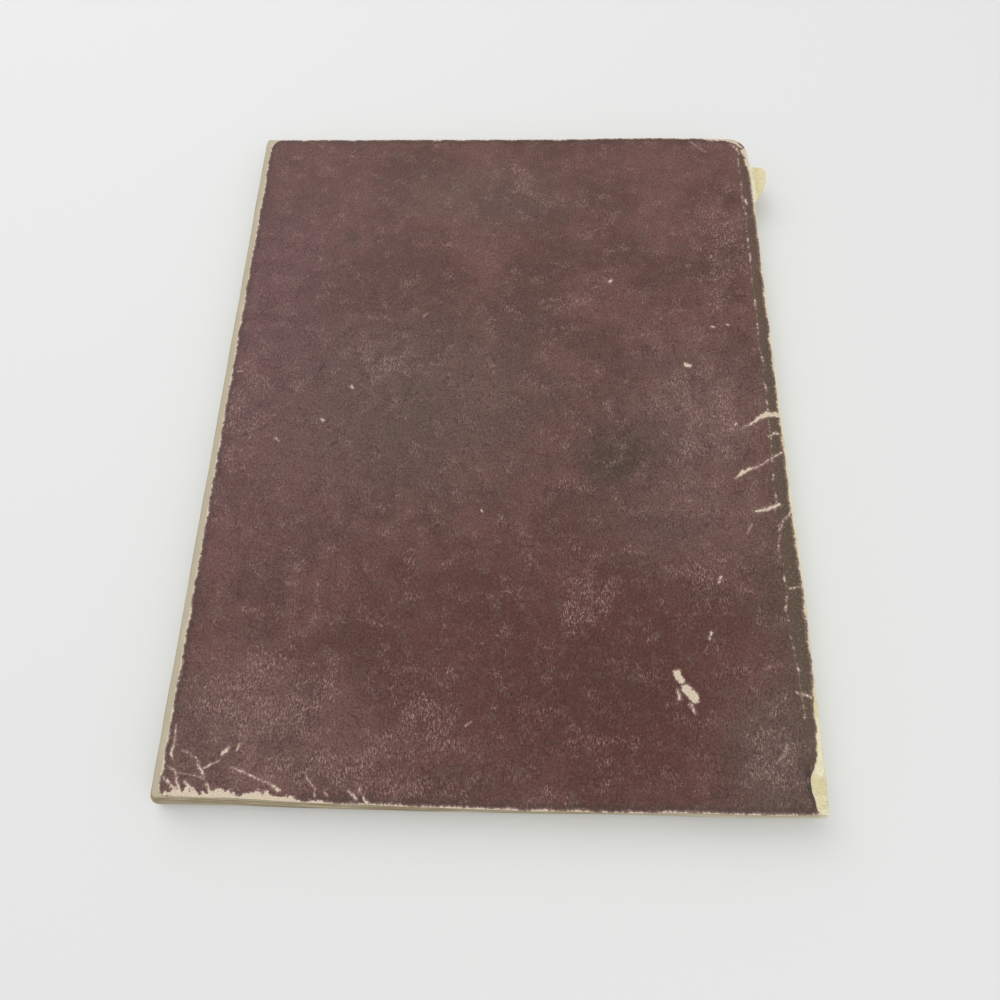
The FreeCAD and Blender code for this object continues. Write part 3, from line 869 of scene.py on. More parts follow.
class Finishes:
    """Every material of the book, built once."""

    def __init__(self, effects: Effects) -> None:
        """Builds all finishes from the shared effects."""
        self.effects = effects
        self.cover_rim = {side: self._leather_card(side, (), True) for side in Side}
        self.cover_middle = {side: self._leather_card(side, (), False) for side in Side}
        self.cover_marked = {
            side: [self._leather_card(side, marks, at_rim) for marks, at_rim in MARKS[side]]
            for side in Side
        }
        self.card_core = self._card_core()
        self.card_inside = self._card_inside()
        self.leaf_face = self._leaf_face()
        self.leaf_edges = self._leaf_edges()
        self.lining = self._lining()
        self.glue = self._glue()

    @staticmethod
    def _start(
        name: str, flat: bool = False
    ) -> tuple[bpy.types.Material, Graph, bpy.types.Node, bpy.types.NodeSocket]:
        """Starts a material.

        Args:
            name: the material's name.
            flat: whether its noise is the same at every height.

        Returns:
            The material, its graph, its shader, and the place on the piece in mm.
        """
        made = bpy.data.materials.new(name)
        made.use_nodes = True
        graph = Graph(made.node_tree, flat)
        shader = made.node_tree.nodes["Principled BSDF"]
        where = graph.add("TexCoord", {}).outputs["Object"]
        return made, graph, shader, graph.scaled(where, 1.0 / MM)

    @staticmethod
    def _dress(
        graph: Graph,
        shader: bpy.types.Node,
        colour: Feed,
        roughness: Feed,
        height: Feed,
        relief: float,
    ) -> None:
        """Feeds a shader.

        Args:
            graph: the material's graph.
            shader: its shader.
            colour: the base colour.
            roughness: how matt it is.
            height: the surface's height.
            relief: what a height of 1 stands for, in mm.
        """
        graph.feed(shader.inputs["Base Color"], colour)
        graph.feed(shader.inputs["Roughness"], roughness)
        bump = graph.add("Bump", {"Height": height, "Distance": relief * MM})
        graph.feed(shader.inputs["Normal"], bump.outputs[0])

    def _marks(self, graph: Graph, place: Feed, marks: tuple[Mark, ...]) -> bpy.types.NodeSocket:
        """Gives how deep a place lies inside the nearest mark, in mm.

        Args:
            graph: the material's graph.
            place: where on the cover, in mm.
            marks: the marks.

        Returns:
            The depth, below 0 outside every mark.
        """
        deepest = None
        for mark in marks:
            for i in range(len(mark.points) - 1):
                (x, y), (x_end, y_end) = mark.points[i], mark.points[i + 1]
                span = Vector((x_end - x, y_end - y, 0.0))
                feeds = {
                    "Place": place,
                    "Start": (x, y, 0.0),
                    "Span": tuple(span),
                    "Slope": tuple(span / span.length_squared),
                    "Width": mark.widths[i],
                    "Widening": mark.widths[i + 1] - mark.widths[i],
                }
                depth = graph.use(self.effects.streak, feeds).outputs["Depth"]
                deepest = depth if deepest is None else graph.math("MAXIMUM", deepest, depth)
        return deepest

    def _patched(
        self, graph: Graph, place: Feed, centre: Point, reach: Point
    ) -> bpy.types.NodeSocket:
        """Gives the mask of one soft patch."""
        feeds = {"Place": place, "Centre": (*centre, 0.0), "Reach": (*reach, 1.0)}
        return graph.use(self.effects.patch, feeds).outputs["Mask"]

    def _leather_card(
        self, side: Side, marks: tuple[Mark, ...], at_rim: bool
    ) -> bpy.types.Material:
        """Maroon card embossed with a leather grain, rubbed, cracked and worn to its core.

        Args:
            side: the cover that it is for.
            marks: where the skin is cracked or rubbed off, on the faces that it is for.
            at_rim: whether those faces lie near the card's outline or its score.

        Returns:
            The material.
        """
        name = f"leather_card_{side.value}_{'rim' if at_rim else 'middle'}_{len(marks)}_marks"
        made, graph, shader, place = self._start(name, flat=True)
        flat = graph.vector("MULTIPLY", place, (1.0, 1.0, 0.0))
        shift = (0.0, 0.0, 0.0) if side is Side.BACK else (410.0, 230.0, 0.0)
        local = graph.vector("ADD", flat, shift)
        wavy = graph.drift(graph.drift(flat, 0.03, 5.0), 0.16, 1.6)

        colour = self._skin_colour(graph, side, local, wavy)
        plain = self._patched(graph, wavy, LOOK.plain_place, LOOK.plain_reach)
        creasing = graph.math("MULTIPLY_ADD", plain, -LOOK.plainness, 1.0)
        grain = graph.use(self.effects.grain, {"Place": local, "Creasing": creasing}).outputs
        mottle = graph.rise(grain["Mottle"], 0.28, 0.72, LOOK.dull_mottle, LOOK.bright_mottle)
        colour = graph.shade(colour, mottle)
        veins = graph.math("MULTIPLY", grain["Veins"], LOOK.veins)
        colour = graph.mix(veins, colour, COLOURS.vein)

        amount = LOOK.front_scuffs
        if side is Side.BACK:
            worn = None
            for centre, reach in RUBBED_PLACES:
                mask = self._patched(graph, wavy, centre, reach)
                worn = mask if worn is None else graph.math("MAXIMUM", worn, mask)
            amount = graph.math("MULTIPLY_ADD", worn, LOOK.worn_scuffs, LOOK.few_scuffs)
        feeds = {"Place": local, "Amount": amount}
        rubbed = graph.use(self.effects.scuffs, feeds).outputs["Mask"]
        share = graph.math("MULTIPLY", rubbed, LOOK.scuffs)
        colour = graph.mix(share, colour, COLOURS.rubbed_pink)

        roughness = graph.rise(grain["Mottle"], 0.3, 0.7, LOOK.smoothest, LOOK.roughest)
        roughness = graph.math("MULTIPLY_ADD", rubbed, LOOK.scuff_roughness, roughness)
        if at_rim or marks:
            colour, bare = self._worn_through(graph, flat, local, colour, marks, at_rim)
            matt = graph.math("MULTIPLY", bare, LOOK.bare_roughness)
            roughness = graph.math("MAXIMUM", roughness, matt)
        height = graph.use(self.effects.relief, {"Place": local}).outputs["Height"]
        self._dress(graph, shader, colour, roughness, height, LOOK.relief)
        shader.inputs["Specular IOR Level"].default_value = LOOK.shine
        return made

    def _skin_colour(self, graph: Graph, side: Side, local: Feed, wavy: Feed) -> bpy.types.NodeSocket:
        """Gives the skin's colour with its uneven tone and its patches, among them a painted shadow
        and a painted sheen.

        Args:
            graph: the material's graph.
            side: the cover.
            local: the place for noise.
            wavy: the place for patches, moved so that their outlines waver.

        Returns:
            The colour.
        """
        uneven = graph.rise(graph.noise(local, 0.035, 3.0, 0.6), 0.35, 0.65)
        colour = graph.mix(uneven, COLOURS.maroon_deep, COLOURS.maroon)
        # the patches include a painted shadow in the torn bite and a painted sheen near the tail of
        # the spine
        for colour_patch in STAINS_AND_PAINTED_LIGHT[side]:
            mask = self._patched(graph, wavy, colour_patch.centre, colour_patch.reach)
            share = graph.math("MULTIPLY", mask, colour_patch.strength)
            colour = graph.mix(share, colour, colour_patch.colour)
        blotches = graph.noise(local, 0.22, 4.0, 0.8)
        colour = graph.mix(graph.rise(blotches, 0.5, 0.68, 0.0, 0.5), colour, COLOURS.maroon_deep)
        return graph.mix(graph.rise(blotches, 0.34, 0.5, 0.45, 0.0), colour, COLOURS.olive_grey)

    def _worn_through(
        self,
        graph: Graph,
        flat: Feed,
        local: Feed,
        colour: Feed,
        marks: tuple[Mark, ...],
        at_rim: bool,
    ) -> tuple[bpy.types.NodeSocket, bpy.types.NodeSocket]:
        """Bares the card's cream core in the marks, and along the outline and the score.

        Args:
            graph: the material's graph.
            flat: the place on the cover, in mm.
            local: the place for noise.
            colour: the colour of the skin.
            marks: the marks.
            at_rim: whether the outline and the score are near.

        Returns:
            The new colour, and 1 where the core is bare.
        """
        ragged = graph.noise(local, 0.85, 4.0, 0.75)
        depth = None
        if at_rim:
            colour, depth = self._worn_rim(graph, flat, local, colour)
        if marks:
            warped = graph.drift(graph.drift(flat, 0.5, 0.5), 1.8, 0.28)
            inside = self._marks(graph, warped, marks)
            depth = inside if depth is None else graph.math("MAXIMUM", depth, inside)
        depth = graph.math("ADD", depth, graph.math("MULTIPLY_ADD", ragged, 1.9, -0.95))
        margin = graph.rise(depth, -0.6, 0.2, 0.0, 0.5)
        colour = graph.mix(margin, colour, COLOURS.rubbed_pink)
        bare = graph.rise(depth, 0.08, 0.42)
        fibres = graph.noise(local, 2.2, 2.0, 0.6)
        core = graph.mix(graph.rise(fibres, 0.35, 0.65), COLOURS.pale_skin, COLOURS.cream_core)
        return graph.mix(bare, colour, core), bare

    @staticmethod
    def _worn_rim(
        graph: Graph, flat: Feed, local: Feed, colour: Feed
    ) -> tuple[bpy.types.NodeSocket, bpy.types.NodeSocket]:
        """Soils the card near its outline and on the strip beyond its score.

        Args:
            graph: the material's graph.
            flat: the place on the cover, in mm.
            local: the place for noise.
            colour: the colour of the skin.

        Returns:
            The new colour, and how deep a place lies inside the bare edge, in mm.
        """
        parts = graph.add("SeparateXYZ", {0: flat}).outputs
        across, along = parts[0], parts[1]

        # The strip beyond the score is darker, dirty and speckled.
        beyond = graph.rise(across, CREASE_X - 1.6, CREASE_X + 0.9, 0.0, 0.85)
        upto = graph.rise(across, CREASE_X - 1.0, CREASE_X + 1.0, 1.0, 0.3)
        strip = graph.math("MULTIPLY", beyond, graph.rise(along, -128.0, -106.0))
        strip = graph.math("MULTIPLY", strip, graph.rise(along, 20.0, 100.0, 1.0, 0.6))
        colour = graph.mix(strip, colour, COLOURS.strip_brown)
        speckle = graph.rise(graph.noise(local, 1.5, 4.0, 0.8), 0.53, 0.72, 0.0, 0.8)
        colour = graph.mix(graph.math("MULTIPLY", speckle, strip), colour, COLOURS.rubbed_pink)

        # Dirt gathers in a band inside the edges.
        rim = graph.kept("rim_distance")
        wear = graph.kept("rim_wear")
        coarse = graph.noise(local, 0.18, 3.0, 0.65)
        dirt_width = graph.math("MULTIPLY_ADD", coarse, 7.0, 0.1)
        dirt = graph.math("MULTIPLY", graph.rise(rim, 0.0, dirt_width, 0.55, 0.0), upto)
        colour = graph.mix(dirt, colour, COLOURS.soot_and_shadow)

        # The skin is gone along the edges and in places along the score.
        edge_share = graph.math("MULTIPLY_ADD", coarse, 3.2, -0.75)
        edge_depth = graph.math("SUBTRACT", graph.math("MULTIPLY", wear, edge_share), rim)
        meander = graph.noise(graph.scaled(along, 1.0), 0.07, 2.0)
        middle = graph.math("MULTIPLY_ADD", meander, 3.0, CREASE_X - 1.3)
        middle = graph.math("ADD", middle, graph.rise(along, -110.0, -78.0, 0.8, -1.1))
        middle = graph.math("ADD", middle, graph.rise(along, -50.0, 0.0, 0.0, 1.1))
        off_score = graph.math("ABSOLUTE", graph.math("SUBTRACT", across, middle))
        gaps = graph.rise(graph.noise(graph.scaled(along, 1.0), 0.13, 4.0, 0.75), 0.42, 0.6)
        score_width = graph.math("MULTIPLY_ADD", gaps, 0.74, -0.42)
        score_depth = graph.math("SUBTRACT", score_width, off_score)
        score_depth = graph.math("ADD", score_depth, graph.rise(along, -113.0, -110.0, -3.0, 0.0))
        return colour, graph.math("MAXIMUM", edge_depth, score_depth)

    def _card_core(self) -> bpy.types.Material:
        """The cut or torn edge of the cover card: cream fibres, soiled."""
        made, graph, shader, place = self._start("card_core")
        paper = graph.use(self.effects.paper, {"Place": place}).outputs
        fibres = graph.rise(paper["Height"], 0.35, 0.65)
        colour = graph.mix(fibres, COLOURS.page_shade, COLOURS.cream_core)
        colour = graph.mix(graph.math("MULTIPLY", paper["Spots"], 0.5), colour, COLOURS.strip_brown)
        self._dress(graph, shader, colour, 0.9, paper["Height"], 0.12)
        return made

    def _card_inside(self) -> bpy.types.Material:
        """The inner face of a cover: plain buff card, toned by the leaf that it faced."""
        made, graph, shader, place = self._start("card_inside")
        paper = graph.use(self.effects.paper, {"Place": place}).outputs
        rim = graph.kept("rim_distance")
        toned = graph.math("MULTIPLY_ADD", paper["Tone"], 14.0, -2.0)
        colour = graph.mix(graph.rise(rim, 0.0, toned), COLOURS.page_stain_and_shade, COLOURS.card_back)
        colour = graph.mix(graph.rise(paper["Tone"], 0.3, 0.75, 0.0, 0.35), colour, COLOURS.page)
        colour = graph.mix(graph.math("MULTIPLY", paper["Spots"], 0.35), colour, COLOURS.page_stain_and_shade)
        self._dress(graph, shader, colour, 0.85, paper["Height"], 0.05)
        return made

    def _leaf_face(self) -> bpy.types.Material:
        """A blank leaf: yellowed paper, browner towards its edges."""
        made, graph, shader, place = self._start("leaf_face")
        paper = graph.use(self.effects.paper, {"Place": place}).outputs
        spread = graph.add("SeparateXYZ", {0: graph.vector("ABSOLUTE", place)}).outputs
        rim = graph.math(
            "MINIMUM",
            graph.math("SUBTRACT", LEAF_HALF_WIDTH, spread[0]),
            graph.math("SUBTRACT", LEAF_HALF_HEIGHT, spread[1]),
        )
        toned = graph.math("MULTIPLY_ADD", paper["Tone"], 16.0, -2.0)
        colour = graph.mix(graph.rise(rim, 0.0, toned), COLOURS.page_shade, COLOURS.page)
        colour = graph.mix(graph.math("MULTIPLY", paper["Spots"], 0.4), colour, COLOURS.page_stain_and_shade)
        self._dress(graph, shader, colour, 0.88, paper["Height"], 0.03)
        return made

    def _leaf_edges(self) -> bpy.types.Material:
        """The cut edges of the leaves: thin lines of paper, greyed and soiled."""
        made, graph, shader, place = self._start("leaf_edges")
        lines = graph.vector("MULTIPLY", place, (0.035, 0.035, 5.0))
        leaves = graph.noise(lines, 1.0, 3.0, 0.75)
        soil = graph.noise(graph.vector("MULTIPLY", place, (1.0, 1.0, 3.0)), 0.06, 5.0, 0.65)
        colour = graph.mix(graph.rise(leaves, 0.38, 0.6), COLOURS.page_shade, COLOURS.page)
        colour = graph.mix(graph.rise(soil, 0.46, 0.72, 0.0, 0.55), colour, COLOURS.page_stain_and_shade)

        # Painted shade: the gap between two sections is darkened as if in shade, here more and there
        # less.
        low, high = node_box("page_block")
        section = (high.z - low.z) / Leaves.sections
        level = graph.add("SeparateXYZ", {0: place}).outputs[2]
        off_gap = graph.math("PINGPONG", graph.math("SUBTRACT", level, low.z), 0.5 * section)
        gap = graph.rise(off_gap, 0.05, 0.3, 0.85, 0.0)
        gap = graph.math("MULTIPLY", gap, graph.rise(soil, 0.3, 0.55, 0.35, 1.0))
        colour = graph.mix(gap, colour, COLOURS.page_stain_and_shade)
        self._dress(graph, shader, colour, 0.86, leaves, 0.12)
        return made

    def _lining(self) -> bpy.types.Material:
        """The bare paper of the spine, stained with old glue that darkens the torn flap."""
        made, graph, shader, place = self._start("spine_paper")
        paper = graph.use(self.effects.paper, {"Place": place}).outputs
        across = graph.add("SeparateXYZ", {0: place}).outputs[0]
        glue = graph.rise(graph.noise(place, 0.09, 5.0, 0.7), 0.45, 0.68, 0.0, 0.75)
        flap = graph.rise(across, SPINE_FACE_X + 1.6, SPINE_FACE_X + 3.0, 0.0, 0.8)
        colour = graph.mix(graph.math("MAXIMUM", glue, flap), COLOURS.lining, COLOURS.glue_ochre)
        outer = graph.rise(across, SPINE_FACE_X + 2.4, SPINE_FACE_X + 7.5, 0.0, 0.4)
        colour = graph.mix(outer, colour, COLOURS.lining)
        fibres = graph.rise(paper["Height"], 0.3, 0.7, 0.78, 1.12)
        colour = graph.shade(colour, fibres)
        colour = graph.mix(graph.math("MULTIPLY", paper["Spots"], 0.45), colour, COLOURS.page_stain_and_shade)
        wrinkles = graph.line(graph.noise(graph.drift(place, 0.2, 1.5), 0.16, 3.0, 0.6), 0.02)
        height = graph.math("MULTIPLY_ADD", wrinkles, -0.8, paper["Height"])
        self._dress(graph, shader, colour, 0.87, height, 0.14)
        return made

    def _glue(self) -> bpy.types.Material:
        """Old spine glue: dull amber, uneven and crazed."""
        made, graph, shader, place = self._start("old_glue")
        lumps = graph.noise(place, 0.5, 4.0, 0.6)
        crazing = graph.line(graph.noise(place, 0.35, 2.0), 0.02)
        colour = graph.mix(graph.rise(lumps, 0.35, 0.65), COLOURS.glue_ochre, COLOURS.glue)
        colour = graph.mix(graph.math("MULTIPLY", crazing, 0.6), colour, COLOURS.strip_brown)
        height = graph.math("MULTIPLY_ADD", crazing, -0.5, lumps)
        self._dress(graph, shader, colour, graph.rise(lumps, 0.3, 0.7, 0.35, 0.6), height, 0.25)
        return made


FORE_SIDE = Ragged(4.0, (0.22, 0.0, 9.0), (0.12, 9.0, 2.6))
HEAD_SIDE = Ragged(1.0, (0.2, 5.0, 11.0), (0.1, 2.0, 3.0))
TAIL_SIDE = Ragged(3.0, (0.2, 8.0, 12.0), (0.1, 6.0, 2.8))


@dataclass
class Cover:
    """One cover: a sheet of card, worn at its outline, divided at the score that it folds on.

    Attributes:
        side: which cover it is.
        head_corner: the radius of its worn corner at the head and the fore-edge, in mm.
        tail_corner: the same at the tail.
        spine_corner: the radius at the head of the spine.
        finest: the mesh's step at the outline, in mm.
        coarsest: its step in the middle.
        swell: how far the card stands up in its waves, in mm.
        fold_drop: how far it lies lower beside the score, so that it folds flat onto the strip.
        fold_zone: how wide that flat place beside the score is.
        overhang: how far the worn fore-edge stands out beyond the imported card.
        grip: how far from a side the shape of that side is still felt.
        rim_zone: how far from the outline a face has the finish of the rim.
        mark_zone: how far from a mark a face has the finish with the marks.
        bite_y: the middle of the bite that is torn from the back strip.
        bite_depth: how deep it is.
        bite_up: how far it reaches towards the head.
        bite_down: how far it reaches towards the tail.
        frayed: how much of the strip is frayed away beside the bite.
        fray: how uneven it is there.
    """

    side: Side
    head_corner: float = 6.0
    tail_corner: float = 3.0
    spine_corner: float = 7.4
    finest: float = 0.14
    coarsest: float = 1.65
    swell: float = 0.22
    fold_drop: float = 0.015
    fold_zone: float = 7.0
    overhang: float = 0.35
    grip: float = 34.0
    rim_zone: float = 9.0
    mark_zone: float = 3.5
    bite_y: float = -131.0
    bite_depth: float = 2.6
    bite_up: float = 6.2
    bite_down: float = 9.5
    frayed: Ramp = Ramp(0.75, 98.0, 108.0)
    fray: Ramp = Ramp(0.35, 98.0, 106.0)

    def __post_init__(self) -> None:
        """Reads the cover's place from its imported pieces."""
        low, high = node_box(f"{self.side.value}_cover")
        strip_high = node_box(f"{self.side.value}_hinge_strip")[1]
        self.fore, self.tail, self.head = low.x, low.y, high.y
        self.bottom, self.top = low.z, high.z
        self.spine = max(strip_high.x, SPINE_X)

    def spine_edge(self, y: float) -> float:
        """Where the strip ends towards the spine, with the bite that is torn from the back one.

        Args:
            y: the place along the spine, in mm.

        Returns:
            The place across the book, in mm.
        """
        edge = self.spine + 0.3 * ripple(3.0, y, 7.0, 6.0) - 0.05
        if self.side is Side.BACK:
            reach = self.bite_up if y > self.bite_y else self.bite_down
            deep = self.bite_depth * math.exp(-(((y - self.bite_y) / reach) ** 2))
            edge += -deep - self.frayed.at(-y) + self.fray.at(-y) * ripple(1.0, y, 2.0, 2.5)
        return edge

    def place(self, x: float, y: float) -> tuple[float, float, float]:
        """Sets one crossing of the cover's grid.

        Args:
            x: its nominal place across the book, in mm.
            y: its nominal place along the spine.

        Returns:
            Its real place on the card's outer face, in mm.
        """
        nominal_x, nominal_y = x, y
        fore_left = 0.0
        for corner, inside in (
            (self.head_corner, nominal_y - (self.head - self.head_corner)),
            (self.tail_corner, (self.tail + self.tail_corner) - nominal_y),
        ):
            if inside > 0.0:
                fore_left = corner - math.sqrt(max(0.0, corner**2 - inside**2))
        fore_left += FORE_SIDE.at(nominal_y) - self.overhang
        x += fore_left * self._felt(nominal_x - self.fore)

        if nominal_x > CREASE_X:
            reach = (nominal_x - CREASE_X) / (self.spine - CREASE_X)
            x = CREASE_X + reach * (self.spine_edge(nominal_y) - CREASE_X)
            x = bowed(x, nominal_y, strip_bow)
        past = nominal_x - (self.spine - self.spine_corner)
        head_left = 0.0
        if past > 0.0:
            head_left = self.spine_corner - math.sqrt(max(0.0, self.spine_corner**2 - past**2))
        head_left += HEAD_SIDE.at(nominal_x) - head_bow(x)
        tail_left = TAIL_SIDE.at(nominal_x) - tail_bow(x)
        y -= head_left * self._felt(self.head - nominal_y)
        y += tail_left * self._felt(nominal_y - self.tail)
        return x, y, self.height(x, y)

    def _felt(self, off: float) -> float:
        """Gives how much of a side's shape is felt at a distance from that side, in mm."""
        return max(0.0, 1.0 - off / self.grip) ** 2

    def height(self, x: float, y: float) -> float:
        """How high the card's outer face lies at a place, in mm."""
        level = self.top if self.side is Side.BACK else self.bottom
        if self.side is Side.FRONT:
            return level
        calm = eased(CREASE_X - x, self.fold_zone, 20.0)
        wave = 0.5 + 0.5 * ripple(x, y, 0.0, 38.0) + 0.22 * ripple(x, y, 5.0, 11.0)
        flat_from = CREASE_X - self.fold_zone
        level -= self.fold_drop * eased(x, flat_from - 2.0, flat_from)
        return level + calm * self.swell * max(0.0, wave)

    def rim(self, x: float, y: float) -> float:
        """How far a place of the flat grid lies from its nearest side, in mm."""
        return max(0.0, min(x - self.fore, self.spine - x, y - self.tail, self.head - y))

    def wear(self, x: float, y: float) -> float:
        """How wide the bare edge is near a place, in mm."""
        sides = (
            (x - self.fore, 0.7),
            (self.spine - x, 0.4 + 1.6 * eased(y, 120.0, 134.0)),
            (y - self.tail, 0.5 + 1.6 * eased(-x, 48.0, 70.0)),
            (self.head - y, 0.5 + 1.0 * eased(x, 86.0, 102.0)),
        )
        return min(sides)[1]

    def build(self, finishes: Finishes) -> list[bpy.types.Object]:
        """Models the cover as a leaf and a strip.

        Args:
            finishes: the book's materials.

        Returns:
            The leaf that opens and the strip that stays, in that order.
        """
        fore_part = stations(self.fore, CREASE_X, self.finest, self.coarsest, 0.22)
        strip_part = stations(CREASE_X, self.spine, self.finest, 0.5, 0.22)
        across = fore_part + strip_part[1:]
        along = stations(self.tail, self.head, self.finest, self.coarsest, 0.22)
        name = f"{self.side.value}_cover_card"
        crossings = []

        def place(x: float, y: float) -> tuple[float, float, float]:
            crossings.append((x, y))
            return self.place(x, y)

        card = grid_sheet(name, across, along, place)
        write_values(card, "rim_distance", [self.rim(x, y) for x, y in crossings])
        write_values(card, "rim_wear", [self.wear(x, y) for x, y in crossings])
        for material in (
            finishes.cover_rim[self.side],
            finishes.card_core,
            finishes.card_inside,
            finishes.cover_middle[self.side],
            *finishes.cover_marked[self.side],
        ):
            card.data.materials.append(material)
        if self.side is Side.FRONT:
            only(card)
            bpy.ops.object.mode_set(mode="EDIT")
            bpy.ops.mesh.select_all(action="SELECT")
            bpy.ops.mesh.flip_normals()
            bpy.ops.object.mode_set(mode="OBJECT")
        thicken(card, self.top - self.bottom, -1.0, back=2, rim=1)
        self._assign_finishes(card)
        only(card)
        bpy.ops.object.duplicate()
        strip = bpy.context.object
        strip.name = strip.data.name = f"{self.side.value}_hinge_card"
        self._divide(card, keep_strip=False)
        self._divide(strip, keep_strip=True)
        return [card, strip]

    def _assign_finishes(self, card: bpy.types.Object) -> None:
        """Gives the outer faces in the middle and those near marks their own finishes."""
        faces = [polygon for polygon in card.data.polygons if polygon.material_index == 0]
        centres = np.array([polygon.center[:2] for polygon in faces]) / MM
        slots = np.where(centres[:, 0] < CREASE_X - 5.0, 3, 0)
        near_rim = [self.rim(x, y) < self.rim_zone for x, y in centres]
        slots[near_rim] = 0
        for number, (marks, _) in enumerate(MARKS[self.side]):
            for mark in marks:
                slots[mark.reaches(centres, self.mark_zone)] = 4 + number
        for polygon, slot in zip(faces, slots):
            polygon.material_index = int(slot)

    @staticmethod
    def _divide(piece: bpy.types.Object, keep_strip: bool) -> None:
        """Cuts a sheet of card at the score and closes the cut.

        Args:
            piece: the whole sheet.
            keep_strip: whether the strip beyond the score stays, and not the leaf.
        """
        only(piece)
        bpy.ops.object.mode_set(mode="EDIT")
        bpy.ops.mesh.select_all(action="SELECT")
        bpy.ops.mesh.bisect(
            plane_co=(CREASE_X * MM, 0.0, 0.0),
            plane_no=(1.0, 0.0, 0.0),
            threshold=1e-7,
            use_fill=True,
            clear_inner=keep_strip,
            clear_outer=not keep_strip,
        )
        bpy.ops.object.mode_set(mode="OBJECT")
        for polygon in piece.data.polygons:
            if abs(polygon.center.x - CREASE_X * MM) < 1e-6:
                polygon.material_index = 1
        smooth(piece, 35.0)


